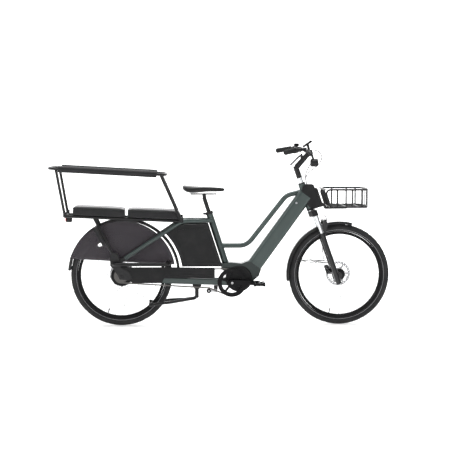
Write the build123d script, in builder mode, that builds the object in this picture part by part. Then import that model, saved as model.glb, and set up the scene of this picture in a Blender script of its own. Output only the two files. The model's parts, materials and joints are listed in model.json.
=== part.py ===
"""Longtail cargo bicycle with a mid-drive motor, a passenger deck and a frame-mounted front basket.

Millimetres, +X forwards, +Y to the rider's left, +Z up. The origin is on the ground,
halfway along the bicycle and on its centre plane.

Three side views carry most sketches. Each has its first axis forwards and its second
axis upwards: the rear view starts at the rear axle, the deck view above it at deck
height, and the crank view at the crank axis. The head view is leant back with the
steering axis: its first axis points forwards, square to the steering axis, and its
second axis runs up the steering axis, from the point level with the front axle.
"""

import math
import os

from build123d import *

os.makedirs("parts", exist_ok=True)

# ---------------------------------------------------------------- driving dimensions
WHEELBASE = 1424.0
TAIL_OVERHANG = 465.0  # rear axle to the back of the passenger rail
TYRE_RADIUS = 330.0
TYRE_WIDTH = 50.0
BAR_WIDTH = 640.0  # over the grips
DECK_CLEARANCE = 40.0  # tyre top to the deck datum

HEAD_ANGLE = 70.8  # from the ground
SEAT_ANGLE = 72.0
FORK_OFFSET = 39.0
CHAIN_STAY = 718.0  # rear axle to crank axis, measured level
CRANK_DROP = 45.5  # crank axis below the axles
CRANK_LENGTH = 172.0
CRANK_GAP = 74.0  # centre plane to the inner face of a crank arm

# Wheels
RIM_DEPTH = 19.0
RIM_WIDTH = 28.0
BEAD_DEPTH = 3.0  # how far the tyre sits over the rim
SPOKE_COUNT = 36
SPOKE_RADIUS = 1.0
ROTOR_RADIUS = 80.0
ROTOR_THICKNESS = 1.8
REAR_HUB_RADIUS = 69.0
REAR_HUB_HALF = 44.0
FRONT_HUB_RADIUS = 38.0
FRONT_HUB_HALF = 32.0
AXLE_RADIUS = 5.0
RUNNING_GAP = 0.05  # radial clearance of every turning or sliding fit
REAR_DROPOUT_Y = 67.5  # centre plane to the inner face of a rear dropout
DROPOUT_PLATE = 6.0
NUT_HEIGHT = 9.0
STUB_LENGTH = 11.0  # bare axle past each rear nut

# Drive
CHAIN_Y = -54.0
CHAIN_PITCH = 12.7
CHAIN_PLATE_HALF = 4.2
CHAIN_PLATE = 1.0
CHAIN_INNER = 5.2
ROLLER_RADIUS = 3.9
RING_TEETH = 44
SPROCKET_TEETH = 22
TOOTH_PLATE = 2.2
GUARD_RING_RADIUS = 94.0
IDLER_RADIUS = 15.0
MOTOR_RADIUS = 86.0
MOTOR_RIGHT = 44.0
MOTOR_LEFT = 56.0
SPINDLE_RADIUS = 10.0

# Frame tubes
SEAT_TUBE_RADIUS = 22.0
POST_RADIUS = 13.6
TOP_TUBE_RADIUS = 16.0
STAY_RADIUS = 14.0
HEAD_TUBE_RADIUS = 24.0
HEAD_BORE = 20.0
HEAD_TUBE_LENGTH = 168.0
STEERER_RADIUS = 14.3
SPACER_RADIUS = 17.5
DOWN_TUBE_DEPTH = 97.0
DOWN_TUBE_WIDTH = 80.0
DOWN_TUBE_WALL = 3.0
CHAIN_STAY_RUN = 436.0  # straight part, from the motor bracket back
CHAIN_STAY_HEIGHT = 40.0
CHAIN_STAY_WIDTH = 16.0
CHAIN_STAY_Y = 38.0

# Fork
CROWN_GAP = 90.0  # tyre to crown along the steering axis
CROWN_HEIGHT = 36.0
LEG_Y = 66.0
LEG_RADIUS = 17.0
LEG_LEAD = 16.0  # legs ahead of the steering axis
STANCHION_RADIUS = 14.0
LEG_TOP_BELOW_CROWN = 120.0

# Guards, deck and rail
REAR_GUARD_GAP = 34.5
FRONT_GUARD_GAP = 17.0
GUARD_WIDTH = 62.0
GUARD_THICKNESS = 2.5
SKIRT_Y = 40.0
SKIRT_THICKNESS = 2.0
RACK_Y = 88.0
RACK_TUBE_RADIUS = 10.0
PAD_WIDTH = 210.0
PAD_THICKNESS = 60.0
RAIL_Y = 140.0
RAIL_RADIUS = 9.0
SLEEVE_RADIUS = 21.0
PANEL_OUTER_Y = 62.0
PANEL_DEPTH = 18.0
PANEL_WALL = 2.5
FOOT_RAIL_RADIUS = 12.0
FOOT_RAIL_Y = 135.0

# Cockpit
BAR_RADIUS = 11.0
GRIP_RADIUS = 16.0
GRIP_LENGTH = 116.0
SHIFTER_LENGTH = 40.0
CLAMP_RADIUS = 22.0
HOSE_RADIUS = 2.5
LEVER_REACH = 46.0
LEVER_LENGTH = 80.0
LEVER_PIN = 2.5

# Saddle
POST_LENGTH = 290.0
RAIL_SPREAD = 22.0
RAIL_UP = 22.0

# Basket
BASKET_LENGTH = 293.0
BASKET_HALF_WIDTH = 151.0
BASKET_HEIGHT = 112.0
BASKET_TUBE = 6.0
BASKET_WIRE = 3.0

# ---------------------------------------------------------------- datums
OVERALL_LENGTH = TAIL_OVERHANG + WHEELBASE + TYRE_RADIUS
REAR_X = TAIL_OVERHANG - OVERALL_LENGTH / 2
FRONT_X = REAR_X + WHEELBASE
AXLE_Z = TYRE_RADIUS
DECK_Z = AXLE_Z + TYRE_RADIUS + DECK_CLEARANCE
CRANK_X = REAR_X + CHAIN_STAY
CRANK_Z = AXLE_Z - CRANK_DROP
LEAN = math.radians(90 - HEAD_ANGLE)
HEAD_X = FRONT_X - FORK_OFFSET * math.cos(LEAN)
HEAD_Z = AXLE_Z - FORK_OFFSET * math.sin(LEAN)
CROWN_LOW = TYRE_RADIUS + CROWN_GAP
CROWN_TOP = CROWN_LOW + CROWN_HEIGHT
HEAD_LOW = CROWN_TOP + 18
HEAD_TOP = HEAD_LOW + HEAD_TUBE_LENGTH
STEM_LOW = HEAD_TOP + 42
CLAMP_FORWARD = 112.0
CLAMP_UP = HEAD_TOP + 176
LEG_TOP = CROWN_LOW - LEG_TOP_BELOW_CROWN
RIM_RADIUS = TYRE_RADIUS - TYRE_WIDTH + BEAD_DEPTH
RIM_INNER = RIM_RADIUS - RIM_DEPTH
RING_RADIUS = CHAIN_PITCH / 2 / math.sin(math.pi / RING_TEETH)
SPROCKET_RADIUS = CHAIN_PITCH / 2 / math.sin(math.pi / SPROCKET_TEETH)


def rear(x, y, z):
    """A point measured from the rear axle."""
    return Vector(REAR_X + x, y, AXLE_Z + z)


def deck(x, y, z):
    """A point measured from the deck datum above the rear axle."""
    return Vector(REAR_X + x, y, DECK_Z + z)


def crank(x, y, z):
    """A point measured from the crank axis."""
    return Vector(CRANK_X + x, y, CRANK_Z + z)


def front(x, y, z):
    """A point measured from the front axle."""
    return Vector(FRONT_X + x, y, AXLE_Z + z)


def head(forward, y, up):
    """A point measured along and ahead of the steering axis."""
    x = HEAD_X + forward * math.cos(LEAN) - up * math.sin(LEAN)
    z = HEAD_Z + forward * math.sin(LEAN) + up * math.cos(LEAN)
    return Vector(x, y, z)


def cockpit(x, y, z):
    """A point measured from the middle of the handlebar clamp, level with the ground."""
    return head(CLAMP_FORWARD, 0, CLAMP_UP) + Vector(x, y, z)


def view(point, direction=(1, 0, 0)):
    """A side view whose sketches stand at a point and extrude towards the right-hand side."""
    return Plane(origin=point, x_dir=direction, z_dir=(0, -1, 0))


FORWARD = (math.cos(LEAN), 0, math.sin(LEAN))
UPWARD = (-math.sin(LEAN), 0, math.cos(LEAN))
SIDES = (-1, 1)  # right, left


def rod(start, end, radius):
    """Add a straight round bar to the open part."""
    run = end - start
    with BuildSketch(Plane(origin=start, z_dir=run)) as section:
        Circle(radius)
    extrude(section.sketch, amount=run.length)


def bore(start, end, radius):
    """Cut a straight round hole through the open part."""
    run = end - start
    with BuildSketch(Plane(origin=start, z_dir=run)) as section:
        Circle(radius)
    extrude(section.sketch, amount=run.length, mode=Mode.SUBTRACT)


def bent_tube(points, radius, bends, close=False):
    """Sweep a round tube along straight runs and tangent bends, into the open part."""
    with BuildLine() as centre:
        FilletPolyline(*points, radius=bends, close=close)
    path = centre.line
    with BuildSketch(Plane(origin=path @ 0, z_dir=path % 0)) as section:
        Circle(radius)
    sweep(section.sketch, path=path)


def slab(plane, outline, thickness, corner=0.0):
    """Add a flat plate with a polygon outline, centred on its plane."""
    with BuildSketch(plane) as section:
        Polygon(*outline, align=None)
        if corner:
            fillet(section.vertices(), corner)
    extrude(section.sketch, amount=thickness / 2, both=True)


# ---------------------------------------------------------------- wheels
def tyre(centre):
    """Add a round-crowned tyre round an axle."""
    with BuildSketch(Plane(origin=centre, x_dir=(0, 1, 0), z_dir=(1, 0, 0))) as section:
        with Locations((0, TYRE_RADIUS - TYRE_WIDTH / 2)):
            Circle(TYRE_WIDTH / 2)
        with Locations((0, RIM_RADIUS)):
            Rectangle(TYRE_WIDTH, TYRE_WIDTH, align=(Align.CENTER, Align.MAX), mode=Mode.SUBTRACT)
    revolve(section.sketch, axis=Axis(centre, (0, 1, 0)))


def rim(centre):
    """Add a hollow-topped box rim."""
    with BuildSketch(Plane(origin=centre, x_dir=(0, 1, 0), z_dir=(1, 0, 0))) as section:
        with BuildLine():
            Polyline(
                (-RIM_WIDTH / 2, RIM_RADIUS),
                (-RIM_WIDTH / 2, RIM_RADIUS - RIM_DEPTH / 2),
                (-RIM_WIDTH / 4, RIM_INNER),
                (RIM_WIDTH / 4, RIM_INNER),
                (RIM_WIDTH / 2, RIM_RADIUS - RIM_DEPTH / 2),
                (RIM_WIDTH / 2, RIM_RADIUS),
                close=True,
            )
        make_face()
    revolve(section.sketch, axis=Axis(centre, (0, 1, 0)))


def spokes(centre, flange_radius, flange_y):
    """Add crossed spokes: each flange's spokes lean alternately forwards and back."""
    for number in range(SPOKE_COUNT):
        side = SIDES[number % 2]
        lean = SIDES[number // 2 % 2]
        rim_angle = math.radians(360 / SPOKE_COUNT * number)
        hub_angle = rim_angle + math.radians(lean * 62)
        spoke_y = side * (flange_y + lean * 2)
        reach = flange_radius - 1
        start = centre + Vector(reach * math.cos(hub_angle), spoke_y, reach * math.sin(hub_angle))
        end_y = side * RIM_WIDTH / 8
        end = centre + Vector(RIM_INNER * math.cos(rim_angle), end_y, RIM_INNER * math.sin(rim_angle))
        rod(start, end, SPOKE_RADIUS)


def rotor(centre, inner_radius):
    """Add a ventilated brake disc whose middle stands at a point."""
    with BuildSketch(view(centre)) as section:
        Circle(ROTOR_RADIUS)
        Circle(ROTOR_RADIUS - 15, mode=Mode.SUBTRACT)
        with PolarLocations(ROTOR_RADIUS - 7.5, 24):
            Circle(2.6, mode=Mode.SUBTRACT)
        Circle(inner_radius + 9)
        with PolarLocations((ROTOR_RADIUS - 15 + inner_radius) / 2, 6):
            Rectangle(ROTOR_RADIUS - 15 - inner_radius + 4, 9)
        Circle(inner_radius, mode=Mode.SUBTRACT)
    extrude(section.sketch, amount=ROTOR_THICKNESS / 2, both=True)


REAR_AXLE = rear(0, 0, 0)
FRONT_AXLE = front(0, 0, 0)
REAR_ROTOR_Y = 51.0
FRONT_ROTOR_Y = 41.0
REAR_BOSS = 16.0
FRONT_BOSS = 14.0
SPOKE_FLANGE_Y = 28.0

with BuildPart() as rear_tyre:
    tyre(REAR_AXLE)

with BuildPart() as front_tyre:
    tyre(FRONT_AXLE)

with BuildPart() as rear_rim:
    rim(REAR_AXLE)

with BuildPart() as front_rim:
    rim(FRONT_AXLE)

with BuildPart() as rear_hub:
    rod(REAR_AXLE + Vector(0, -REAR_HUB_HALF, 0), REAR_AXLE + Vector(0, REAR_HUB_HALF, 0), REAR_HUB_RADIUS)
    fillet(rear_hub.edges().filter_by(GeomType.CIRCLE), 10)
    rod(REAR_AXLE, REAR_AXLE + Vector(0, REAR_DROPOUT_Y - 2.5, 0), REAR_BOSS)
    bore(REAR_AXLE + Vector(0, -100, 0), REAR_AXLE + Vector(0, 100, 0), AXLE_RADIUS + RUNNING_GAP)

with BuildPart() as front_hub:
    rod(
        FRONT_AXLE + Vector(0, -FRONT_HUB_HALF, 0),
        FRONT_AXLE + Vector(0, FRONT_HUB_HALF, 0),
        FRONT_HUB_RADIUS,
    )
    fillet(front_hub.edges().filter_by(GeomType.CIRCLE), 8)
    rod(FRONT_AXLE + Vector(0, -48, 0), FRONT_AXLE + Vector(0, 48, 0), FRONT_BOSS)
    bore(FRONT_AXLE + Vector(0, -100, 0), FRONT_AXLE + Vector(0, 100, 0), AXLE_RADIUS + RUNNING_GAP)

with BuildPart() as rear_spokes:
    spokes(REAR_AXLE, REAR_HUB_RADIUS, SPOKE_FLANGE_Y)
    add(rear_hub.part, mode=Mode.SUBTRACT)
    add(rear_rim.part, mode=Mode.SUBTRACT)

with BuildPart() as front_spokes:
    spokes(FRONT_AXLE, FRONT_HUB_RADIUS, FRONT_HUB_HALF - 12)
    add(front_hub.part, mode=Mode.SUBTRACT)
    add(front_rim.part, mode=Mode.SUBTRACT)

with BuildPart() as rear_rotor:
    rotor(REAR_AXLE + Vector(0, REAR_ROTOR_Y, 0), REAR_BOSS)

with BuildPart() as front_rotor:
    rotor(FRONT_AXLE + Vector(0, FRONT_ROTOR_Y, 0), FRONT_BOSS)

# ---------------------------------------------------------------- motor and lower frame
MOTOR_FORWARD = 47.0
MOTOR_UP = 22.5


def motor_disc(y_low, y_high, radius):
    """Add a round slice of the motor body between two planes."""
    rod(crank(MOTOR_FORWARD, y_low, MOTOR_UP), crank(MOTOR_FORWARD, y_high, MOTOR_UP), radius)


with BuildPart() as motor_unit:
    motor_disc(-MOTOR_RIGHT, MOTOR_LEFT, MOTOR_RADIUS)
    fillet(motor_unit.edges().filter_by(GeomType.CIRCLE), 11)
    motor_disc(-10, -6, MOTOR_RADIUS + 1.5)
    rod(crank(0, -MOTOR_RIGHT - 4, 0), crank(0, -MOTOR_RIGHT + 12, 0), 24)
    with BuildSketch(view(crank(MOTOR_FORWARD, -MOTOR_RIGHT - 1, MOTOR_UP))) as bolt_heads:
        with PolarLocations(MOTOR_RADIUS - 20, 7, start_angle=12):
            Circle(4)
    extrude(bolt_heads.sketch, amount=4, both=True)
    bore(crank(0, -100, 0), crank(0, 100, 0), SPINDLE_RADIUS + RUNNING_GAP)

# Down tube line, from its lower end to where it meets the steering axis
DOWN_LOW = crank(152, 0, 112.5)
DOWN_HIGH = head(0, 0, HEAD_LOW + 94)
DOWN_RUN = DOWN_HIGH - DOWN_LOW
DOWN_PLANE = Plane(origin=DOWN_LOW, x_dir=(0, 1, 0), z_dir=DOWN_RUN)

DOWN_DIRECTION = DOWN_RUN.normalized()
DOWN_ACROSS = Vector(-DOWN_DIRECTION.Z, 0, DOWN_DIRECTION.X) * (DOWN_TUBE_DEPTH / 2)

with BuildPart() as down_tube:
    with BuildSketch(DOWN_PLANE):
        RectangleRounded(DOWN_TUBE_WIDTH, DOWN_TUBE_DEPTH, 22)
    extrude(amount=DOWN_RUN.length)
    with BuildSketch(DOWN_PLANE.offset(DOWN_TUBE_WALL)):
        RectangleRounded(
            DOWN_TUBE_WIDTH - 2 * DOWN_TUBE_WALL,
            DOWN_TUBE_DEPTH - 2 * DOWN_TUBE_WALL,
            22 - DOWN_TUBE_WALL,
        )
    extrude(amount=DOWN_RUN.length - 90, mode=Mode.SUBTRACT)
    bore(head(0, 0, HEAD_LOW - 40), head(0, 0, HEAD_TOP + 40), HEAD_TUBE_RADIUS)
    lock_point = DOWN_LOW + DOWN_RUN * 0.86 + DOWN_ACROSS * 0.4
    bore(lock_point, lock_point + Vector(0, -60, 0), 7)

with BuildPart() as battery:
    with BuildSketch(DOWN_PLANE.offset(14)):
        RectangleRounded(
            DOWN_TUBE_WIDTH - 2 * DOWN_TUBE_WALL - 4,
            DOWN_TUBE_DEPTH - 2 * DOWN_TUBE_WALL - 4,
            16,
        )
    extrude(amount=DOWN_RUN.length * 0.68)

with BuildPart() as battery_lock:
    lock_face = -DOWN_TUBE_WIDTH / 2
    lock_radius = 7 - RUNNING_GAP
    rod(
        Vector(lock_point.X, lock_face + DOWN_TUBE_WALL + 8, lock_point.Z),
        Vector(lock_point.X, lock_face - 1, lock_point.Z),
        lock_radius,
    )
    with BuildSketch(view(Vector(lock_point.X, lock_face - 1, lock_point.Z))) as key_slot:
        Rectangle(1.6, 8)
    extrude(key_slot.sketch, amount=3, both=True, mode=Mode.SUBTRACT)

# Seat tube, from the motor bracket up to the clamp
SEAT_DIRECTION = Vector(-math.cos(math.radians(SEAT_ANGLE)), 0, math.sin(math.radians(SEAT_ANGLE)))
SEAT_TOP_UP = 40.0  # above the deck datum
CRANK_AXIS = crank(0, 0, 0)


def seat_point(height):
    """The point of the seat tube's axis at a height above the ground."""
    return CRANK_AXIS + SEAT_DIRECTION * ((height - CRANK_Z) / SEAT_DIRECTION.Z)


SEAT_TOP = seat_point(DECK_Z + SEAT_TOP_UP)
SADDLE_CLAMP = seat_point(DECK_Z + 137)

with BuildPart() as seat_tube:
    upper_corner = DOWN_LOW + DOWN_ACROSS - CRANK_AXIS
    lower_corner = DOWN_LOW - DOWN_ACROSS - CRANK_AXIS
    slab(
        view(CRANK_AXIS),
        [
            (-70, 84),
            (-64, 122),
            (-8, 130),
            (64, 122),
            (upper_corner.X, upper_corner.Z),
            (lower_corner.X, lower_corner.Z),
            (176, 40),
            (138, 8),
            (47, 22),
        ],
        84,
    )
    rod(seat_point(CRANK_Z + 100), SEAT_TOP, SEAT_TUBE_RADIUS)
    bore(seat_point(CRANK_Z + 180), SEAT_TOP + SEAT_DIRECTION * 5, POST_RADIUS + RUNNING_GAP)
    bore(
        crank(MOTOR_FORWARD, -100, MOTOR_UP),
        crank(MOTOR_FORWARD, 100, MOTOR_UP),
        MOTOR_RADIUS,
    )
    bore(crank(MOTOR_FORWARD, -11, MOTOR_UP), crank(MOTOR_FORWARD, -5, MOTOR_UP), MOTOR_RADIUS + 2)

with BuildPart() as top_tube:
    bent_tube(
        [
            deck(640, 0, -179),
            deck(818, 0, -179),
            head(-120, 0, HEAD_LOW + 130),
            head(-5, 0, HEAD_LOW + 120),
        ],
        TOP_TUBE_RADIUS,
        [100, 90],
    )
    bore(seat_point(CRANK_Z + 60), SEAT_TOP, SEAT_TUBE_RADIUS)
    rod(head(0, 0, HEAD_LOW), head(0, 0, HEAD_TOP), HEAD_TUBE_RADIUS)
    bore(head(0, 0, HEAD_LOW), head(0, 0, HEAD_TOP), HEAD_BORE)
    add(down_tube.part, mode=Mode.SUBTRACT)

# Upper stays run from the seat tube to the axle blocks
STAY_TAIL_Y = 80.0
BLOCK_Z = 66.0

with BuildPart() as seat_stays:
    for side in SIDES:
        bent_tube(
            [
                deck(588, side * 26, -12),
                deck(500, side * 58, -12),
                deck(392, side * 61, -12),
                rear(24, side * STAY_TAIL_Y, 117),
            ],
            STAY_RADIUS,
            [70, 150],
        )
    rod(deck(500, -56, -12), deck(500, 56, -12), 9)
    bore(seat_point(CRANK_Z + 60), SEAT_TOP, SEAT_TUBE_RADIUS)

with BuildPart() as chain_stays:
    for side in SIDES:
        stay_root = rear(700, side * CHAIN_STAY_Y, -47)
        with BuildSketch(Plane(origin=stay_root, x_dir=(0, 1, 0), z_dir=(-1, 0, 0.036))) as stay_section:
            RectangleRounded(CHAIN_STAY_WIDTH, CHAIN_STAY_HEIGHT, 6)
        extrude(stay_section.sketch, amount=CHAIN_STAY_RUN)
        tail_start = rear(268, side * (CHAIN_STAY_Y + 1), -30)
        tail_end = rear(40, side * (REAR_DROPOUT_Y - 2), -8)
        with BuildSketch(Plane(origin=tail_start, x_dir=(0, 1, 0), z_dir=tail_end - tail_start)) as tail:
            RectangleRounded(12, 22, 5)
        extrude(tail.sketch, amount=(tail_end - tail_start).length)
    with BuildSketch(view(rear(438, 0, -40))) as bridge:
        RectangleRounded(30, 22, 8)
    extrude(bridge.sketch, amount=CHAIN_STAY_Y, both=True)
    bore(
        crank(MOTOR_FORWARD, -100, MOTOR_UP),
        crank(MOTOR_FORWARD, 100, MOTOR_UP),
        MOTOR_RADIUS,
    )
    bore(crank(MOTOR_FORWARD, -11, MOTOR_UP), crank(MOTOR_FORWARD, -5, MOTOR_UP), MOTOR_RADIUS + 2)
    for side in SIDES:
        slab(
            view(rear(0, side * (REAR_DROPOUT_Y + DROPOUT_PLATE / 2), 0)),
            [(-64, BLOCK_Z), (-16, BLOCK_Z), (56, 24), (66, -22), (44, -28), (-12, -20), (-22, 4)],
            DROPOUT_PLATE,
            5,
        )
    bore(rear(0, -120, 0), rear(0, 120, 0), AXLE_RADIUS)

STRUT_FOOT = Vector(-58, 150)
STRUT_HEAD_X = -174.0
DECK_SLOPE = -0.0466
DECK_REAR = -309.0
DECK_FRONT = 377.0


def pad_low(x):
    """Height of the pads' underside above the deck datum."""
    return 31 + DECK_SLOPE * (x - DECK_REAR)


def rail_low(x):
    """Height of the rack side rails' centre above the deck datum."""
    return pad_low(x) - RACK_TUBE_RADIUS - 0.4


with BuildPart() as foot_rails:
    for side in SIDES:
        # Axle block, with the socket that takes the upper stay
        slab(
            view(rear(0, side * 81, 0)),
            [(-70, BLOCK_Z), (-14, BLOCK_Z), (-10, 118), (-24, 152), (-62, 156), (-72, 120)],
            32,
            7,
        )
        rod(rear(-20, side * STAY_TAIL_Y, 92), rear(24, side * STAY_TAIL_Y, 117), STAY_RADIUS)
        # Foot rail and its front hanger
        bent_tube(
            [
                rear(-48, side * 90, 83),
                rear(-48, side * FOOT_RAIL_Y, 83),
                rear(305, side * FOOT_RAIL_Y, 83),
                rear(305, side * 46, 83),
            ],
            FOOT_RAIL_RADIUS,
            [24, 34],
        )
        slab(
            view(rear(305, side * (CHAIN_STAY_Y + CHAIN_STAY_WIDTH / 2 + 0.5), 0)),
            [(-16, -18), (16, -18), (14, 97), (-14, 97)],
            3,
            5,
        )
        # Clamp box behind the rack strut
        strut_foot = rear(STRUT_FOOT.X, side * RACK_Y, STRUT_FOOT.Y)
        strut_head = deck(STRUT_HEAD_X, side * RACK_Y, rail_low(STRUT_HEAD_X))
        strut_way = (strut_head - strut_foot).normalized()
        aside = Vector(-strut_way.Z, 0, strut_way.X)
        box_centre = strut_foot + strut_way * 138 + aside * 21
        with BuildSketch(Plane(origin=box_centre, x_dir=strut_way, z_dir=(0, -1, 0))) as box_section:
            RectangleRounded(128, 24, 5)
        extrude(box_section.sketch, amount=13, both=True)
    add(chain_stays.part, mode=Mode.SUBTRACT)
    add(seat_stays.part, mode=Mode.SUBTRACT)

with BuildPart() as rear_caliper:
    with BuildSketch(view(rear(-44, REAR_ROTOR_Y + 0.5, 60), (0.8, 0, 0.6))) as caliper_body:
        RectangleRounded(58, 30, 8)
    extrude(caliper_body.sketch, amount=5.5, both=True)
    with BuildSketch(view(REAR_AXLE + Vector(0, REAR_ROTOR_Y, 0))) as rotor_slot:
        Circle(ROTOR_RADIUS + 1)
    extrude(rotor_slot.sketch, amount=ROTOR_THICKNESS / 2 + 0.5, both=True, mode=Mode.SUBTRACT)
    # Two posts on the left dropout
    for post_x, post_z in ((-46, 57), (-22, 52)):
        rod(rear(post_x, REAR_ROTOR_Y + 4, post_z), rear(post_x, REAR_DROPOUT_Y, post_z), 5)

STAND_FORWARD = 490.0
STAND_DROP = -76.0
STAND_PIN = 6.0

with BuildPart() as stand_legs:
    rod(rear(STAND_FORWARD, -35, STAND_DROP), rear(STAND_FORWARD, 35, STAND_DROP), 12.5)
    for side in SIDES:
        bent_tube(
            [
                rear(STAND_FORWARD, side * 14, STAND_DROP),
                rear(STAND_FORWARD - 2, side * 16, -152),
                rear(415, side * 22, -163),
                rear(325, side * 66, -172),
                rear(196, side * 70, -186),
            ],
            9,
            [24, 30, 60],
        )
        rod(rear(200, side * 70, -186), rear(178, side * 71, -188), 14)
    with BuildSketch(view(rear(STAND_FORWARD, 0, -120))) as root_web:
        RectangleRounded(24, 60, 6)
    extrude(root_web.sketch, amount=22, both=True)
    bore(rear(STAND_FORWARD, -60, STAND_DROP), rear(STAND_FORWARD, 60, STAND_DROP), STAND_PIN + RUNNING_GAP)

# ---------------------------------------------------------------- drive
REAR_CENTRE = Vector(0, 0)
RING_CENTRE = Vector(CHAIN_STAY, -CRANK_DROP)
IDLER_CENTRE = Vector(CHAIN_STAY - 151, -CRANK_DROP - 54.5)
IDLER_PATH = IDLER_RADIUS + CHAIN_PLATE_HALF + 0.4


def tangent_run(centre_a, radius_a, centre_b, radius_b):
    """The straight run that touches two circles; a negative radius puts it under that circle's run."""
    gap = centre_b - centre_a
    lean = math.degrees(math.acos((radius_a - radius_b) / gap.length))
    normal = gap.normalized().rotate(Axis.Z, lean)
    return centre_a + normal * radius_a, centre_b + normal * radius_b


def chain_runs(offset):
    """The three straight runs of the chain, moved outwards by an offset."""
    small = SPROCKET_RADIUS + offset
    large = RING_RADIUS + offset
    idler = -IDLER_PATH + offset
    return (
        tangent_run(REAR_CENTRE, small, RING_CENTRE, large),
        tangent_run(RING_CENTRE, large, IDLER_CENTRE, idler),
        tangent_run(IDLER_CENTRE, idler, REAR_CENTRE, small),
    )


def chain_outline(offset):
    """Draw the closed chain path, moved outwards by an offset."""
    upper, front_lower, rear_lower = chain_runs(offset)
    over_idler = ((front_lower[1] + rear_lower[0]) * 0.5 - IDLER_CENTRE).normalized()
    Line(*upper)
    ThreePointArc(upper[1], RING_CENTRE + Vector(RING_RADIUS + offset, 0), front_lower[0])
    Line(*front_lower)
    ThreePointArc(front_lower[1], IDLER_CENTRE + over_idler * (IDLER_PATH - offset), rear_lower[0])
    Line(*rear_lower)
    ThreePointArc(rear_lower[1], REAR_CENTRE - Vector(SPROCKET_RADIUS + offset, 0), upper[0])


with BuildPart() as chain:
    for plate_side in SIDES:
        plate_y = CHAIN_Y + plate_side * (CHAIN_INNER + CHAIN_PLATE) / 2
        with BuildSketch(view(rear(0, plate_y, 0))) as plate_band:
            with BuildLine():
                chain_outline(CHAIN_PLATE_HALF)
            make_face()
            with BuildLine():
                chain_outline(-CHAIN_PLATE_HALF)
            make_face(mode=Mode.SUBTRACT)
        extrude(plate_band.sketch, amount=CHAIN_PLATE / 2, both=True)
    with BuildSketch(view(rear(0, CHAIN_Y, 0))) as chain_rollers:
        for start, end in chain_runs(0):
            reach = (end - start).length - 6.5 * CHAIN_PITCH
            direction = (end - start).normalized()
            for number in range(int(reach / CHAIN_PITCH)):
                with Locations(start + direction * (3.2 + number) * CHAIN_PITCH):
                    Circle(ROLLER_RADIUS)
    extrude(chain_rollers.sketch, amount=CHAIN_INNER / 2, both=True)


def toothed_disc(centre, teeth, pitch_radius):
    """Draw a sprocket: a disc with a round seat for each chain roller."""
    Circle(pitch_radius + 1.6)
    with PolarLocations(pitch_radius, teeth):
        Circle(ROLLER_RADIUS + 0.3, mode=Mode.SUBTRACT)


with BuildPart() as rear_sprocket:
    with BuildSketch(view(rear(0, CHAIN_Y, 0))) as sprocket_section:
        toothed_disc(REAR_CENTRE, SPROCKET_TEETH, SPROCKET_RADIUS)
    extrude(sprocket_section.sketch, amount=TOOTH_PLATE / 2, both=True)
    rod(rear(0, -REAR_HUB_HALF - 1, 0), rear(0, -REAR_DROPOUT_Y + 2.5, 0), 17)
    bore(rear(0, -100, 0), rear(0, 100, 0), AXLE_RADIUS + RUNNING_GAP)

with BuildPart() as crankset:
    with BuildSketch(view(crank(0, CHAIN_Y, 0))) as ring_section:
        toothed_disc(RING_CENTRE, RING_TEETH, RING_RADIUS)
        Circle(RING_RADIUS - 22, mode=Mode.SUBTRACT)
        with PolarLocations(RING_RADIUS / 2, 5, start_angle=18):
            Rectangle(RING_RADIUS - 20, 15)
        Circle(24)
    extrude(ring_section.sketch, amount=TOOTH_PLATE / 2, both=True)
    with BuildSketch(view(crank(0, CHAIN_Y - 7, 0))) as guard_section:
        Circle(GUARD_RING_RADIUS)
        Circle(RING_RADIUS - 22, mode=Mode.SUBTRACT)
    extrude(guard_section.sketch, amount=1.25, both=True)
    with BuildSketch(view(crank(0, CHAIN_Y, 0))) as ring_bolts:
        with PolarLocations(RING_RADIUS - 14, 5, start_angle=18):
            Circle(5)
    extrude(ring_bolts.sketch, amount=9)
    rod(crank(0, -MOTOR_RIGHT - 5, 0), crank(0, -CRANK_GAP, 0), 19)
    rod(crank(0, -CRANK_GAP - 12, 0), crank(0, CRANK_GAP + 12, 0), SPINDLE_RADIUS)
    for side in SIDES:
        reach = -side * CRANK_LENGTH
        with BuildSketch(view(crank(0, side * (CRANK_GAP + 7), 0))) as arm_section:
            with BuildLine():
                Polyline(
                    (0, 19),
                    (reach, 13),
                    (reach, -13),
                    (0, -19),
                    close=True,
                )
            make_face()
            Circle(19)
            with Locations((reach, 0)):
                Circle(13)
        extrude(arm_section.sketch, amount=7, both=True)
        pedal_start = crank(reach, side * (CRANK_GAP + 12), 0)
        rod(pedal_start, crank(reach, side * (CRANK_GAP + 104), 0), 6)


def pedal(side):
    """Add a platform pedal round its spindle: two side cheeks, two treads and a barrel."""
    reach = -side * CRANK_LENGTH
    inner = CRANK_GAP + 17
    outer = CRANK_GAP + 108
    for cheek_y in (inner + 3, outer - 3):
        slab(
            view(crank(reach, side * cheek_y, 0)),
            [(-38, -9), (38, -9), (38, 9), (-38, 9)],
            6,
            4,
        )
    for tread_x in (-30, 30):
        with BuildSketch(view(crank(reach + tread_x, side * (inner + outer) / 2, 0))) as tread:
            RectangleRounded(15, 24, 4)
        extrude(tread.sketch, amount=(outer - inner) / 2, both=True)
    rod(crank(reach, side * inner, 0), crank(reach, side * outer, 0), 10)
    bore(crank(reach, side * (inner - 10), 0), crank(reach, side * (outer - 4), 0), 6 + RUNNING_GAP)


with BuildPart() as pedal_right:
    pedal(-1)

with BuildPart() as pedal_left:
    pedal(1)

TENSIONER_PIVOT = rear(IDLER_CENTRE.X + 46, 0, IDLER_CENTRE.Y + 2)
IDLER_POINT = rear(IDLER_CENTRE.X, 0, IDLER_CENTRE.Y)

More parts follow.
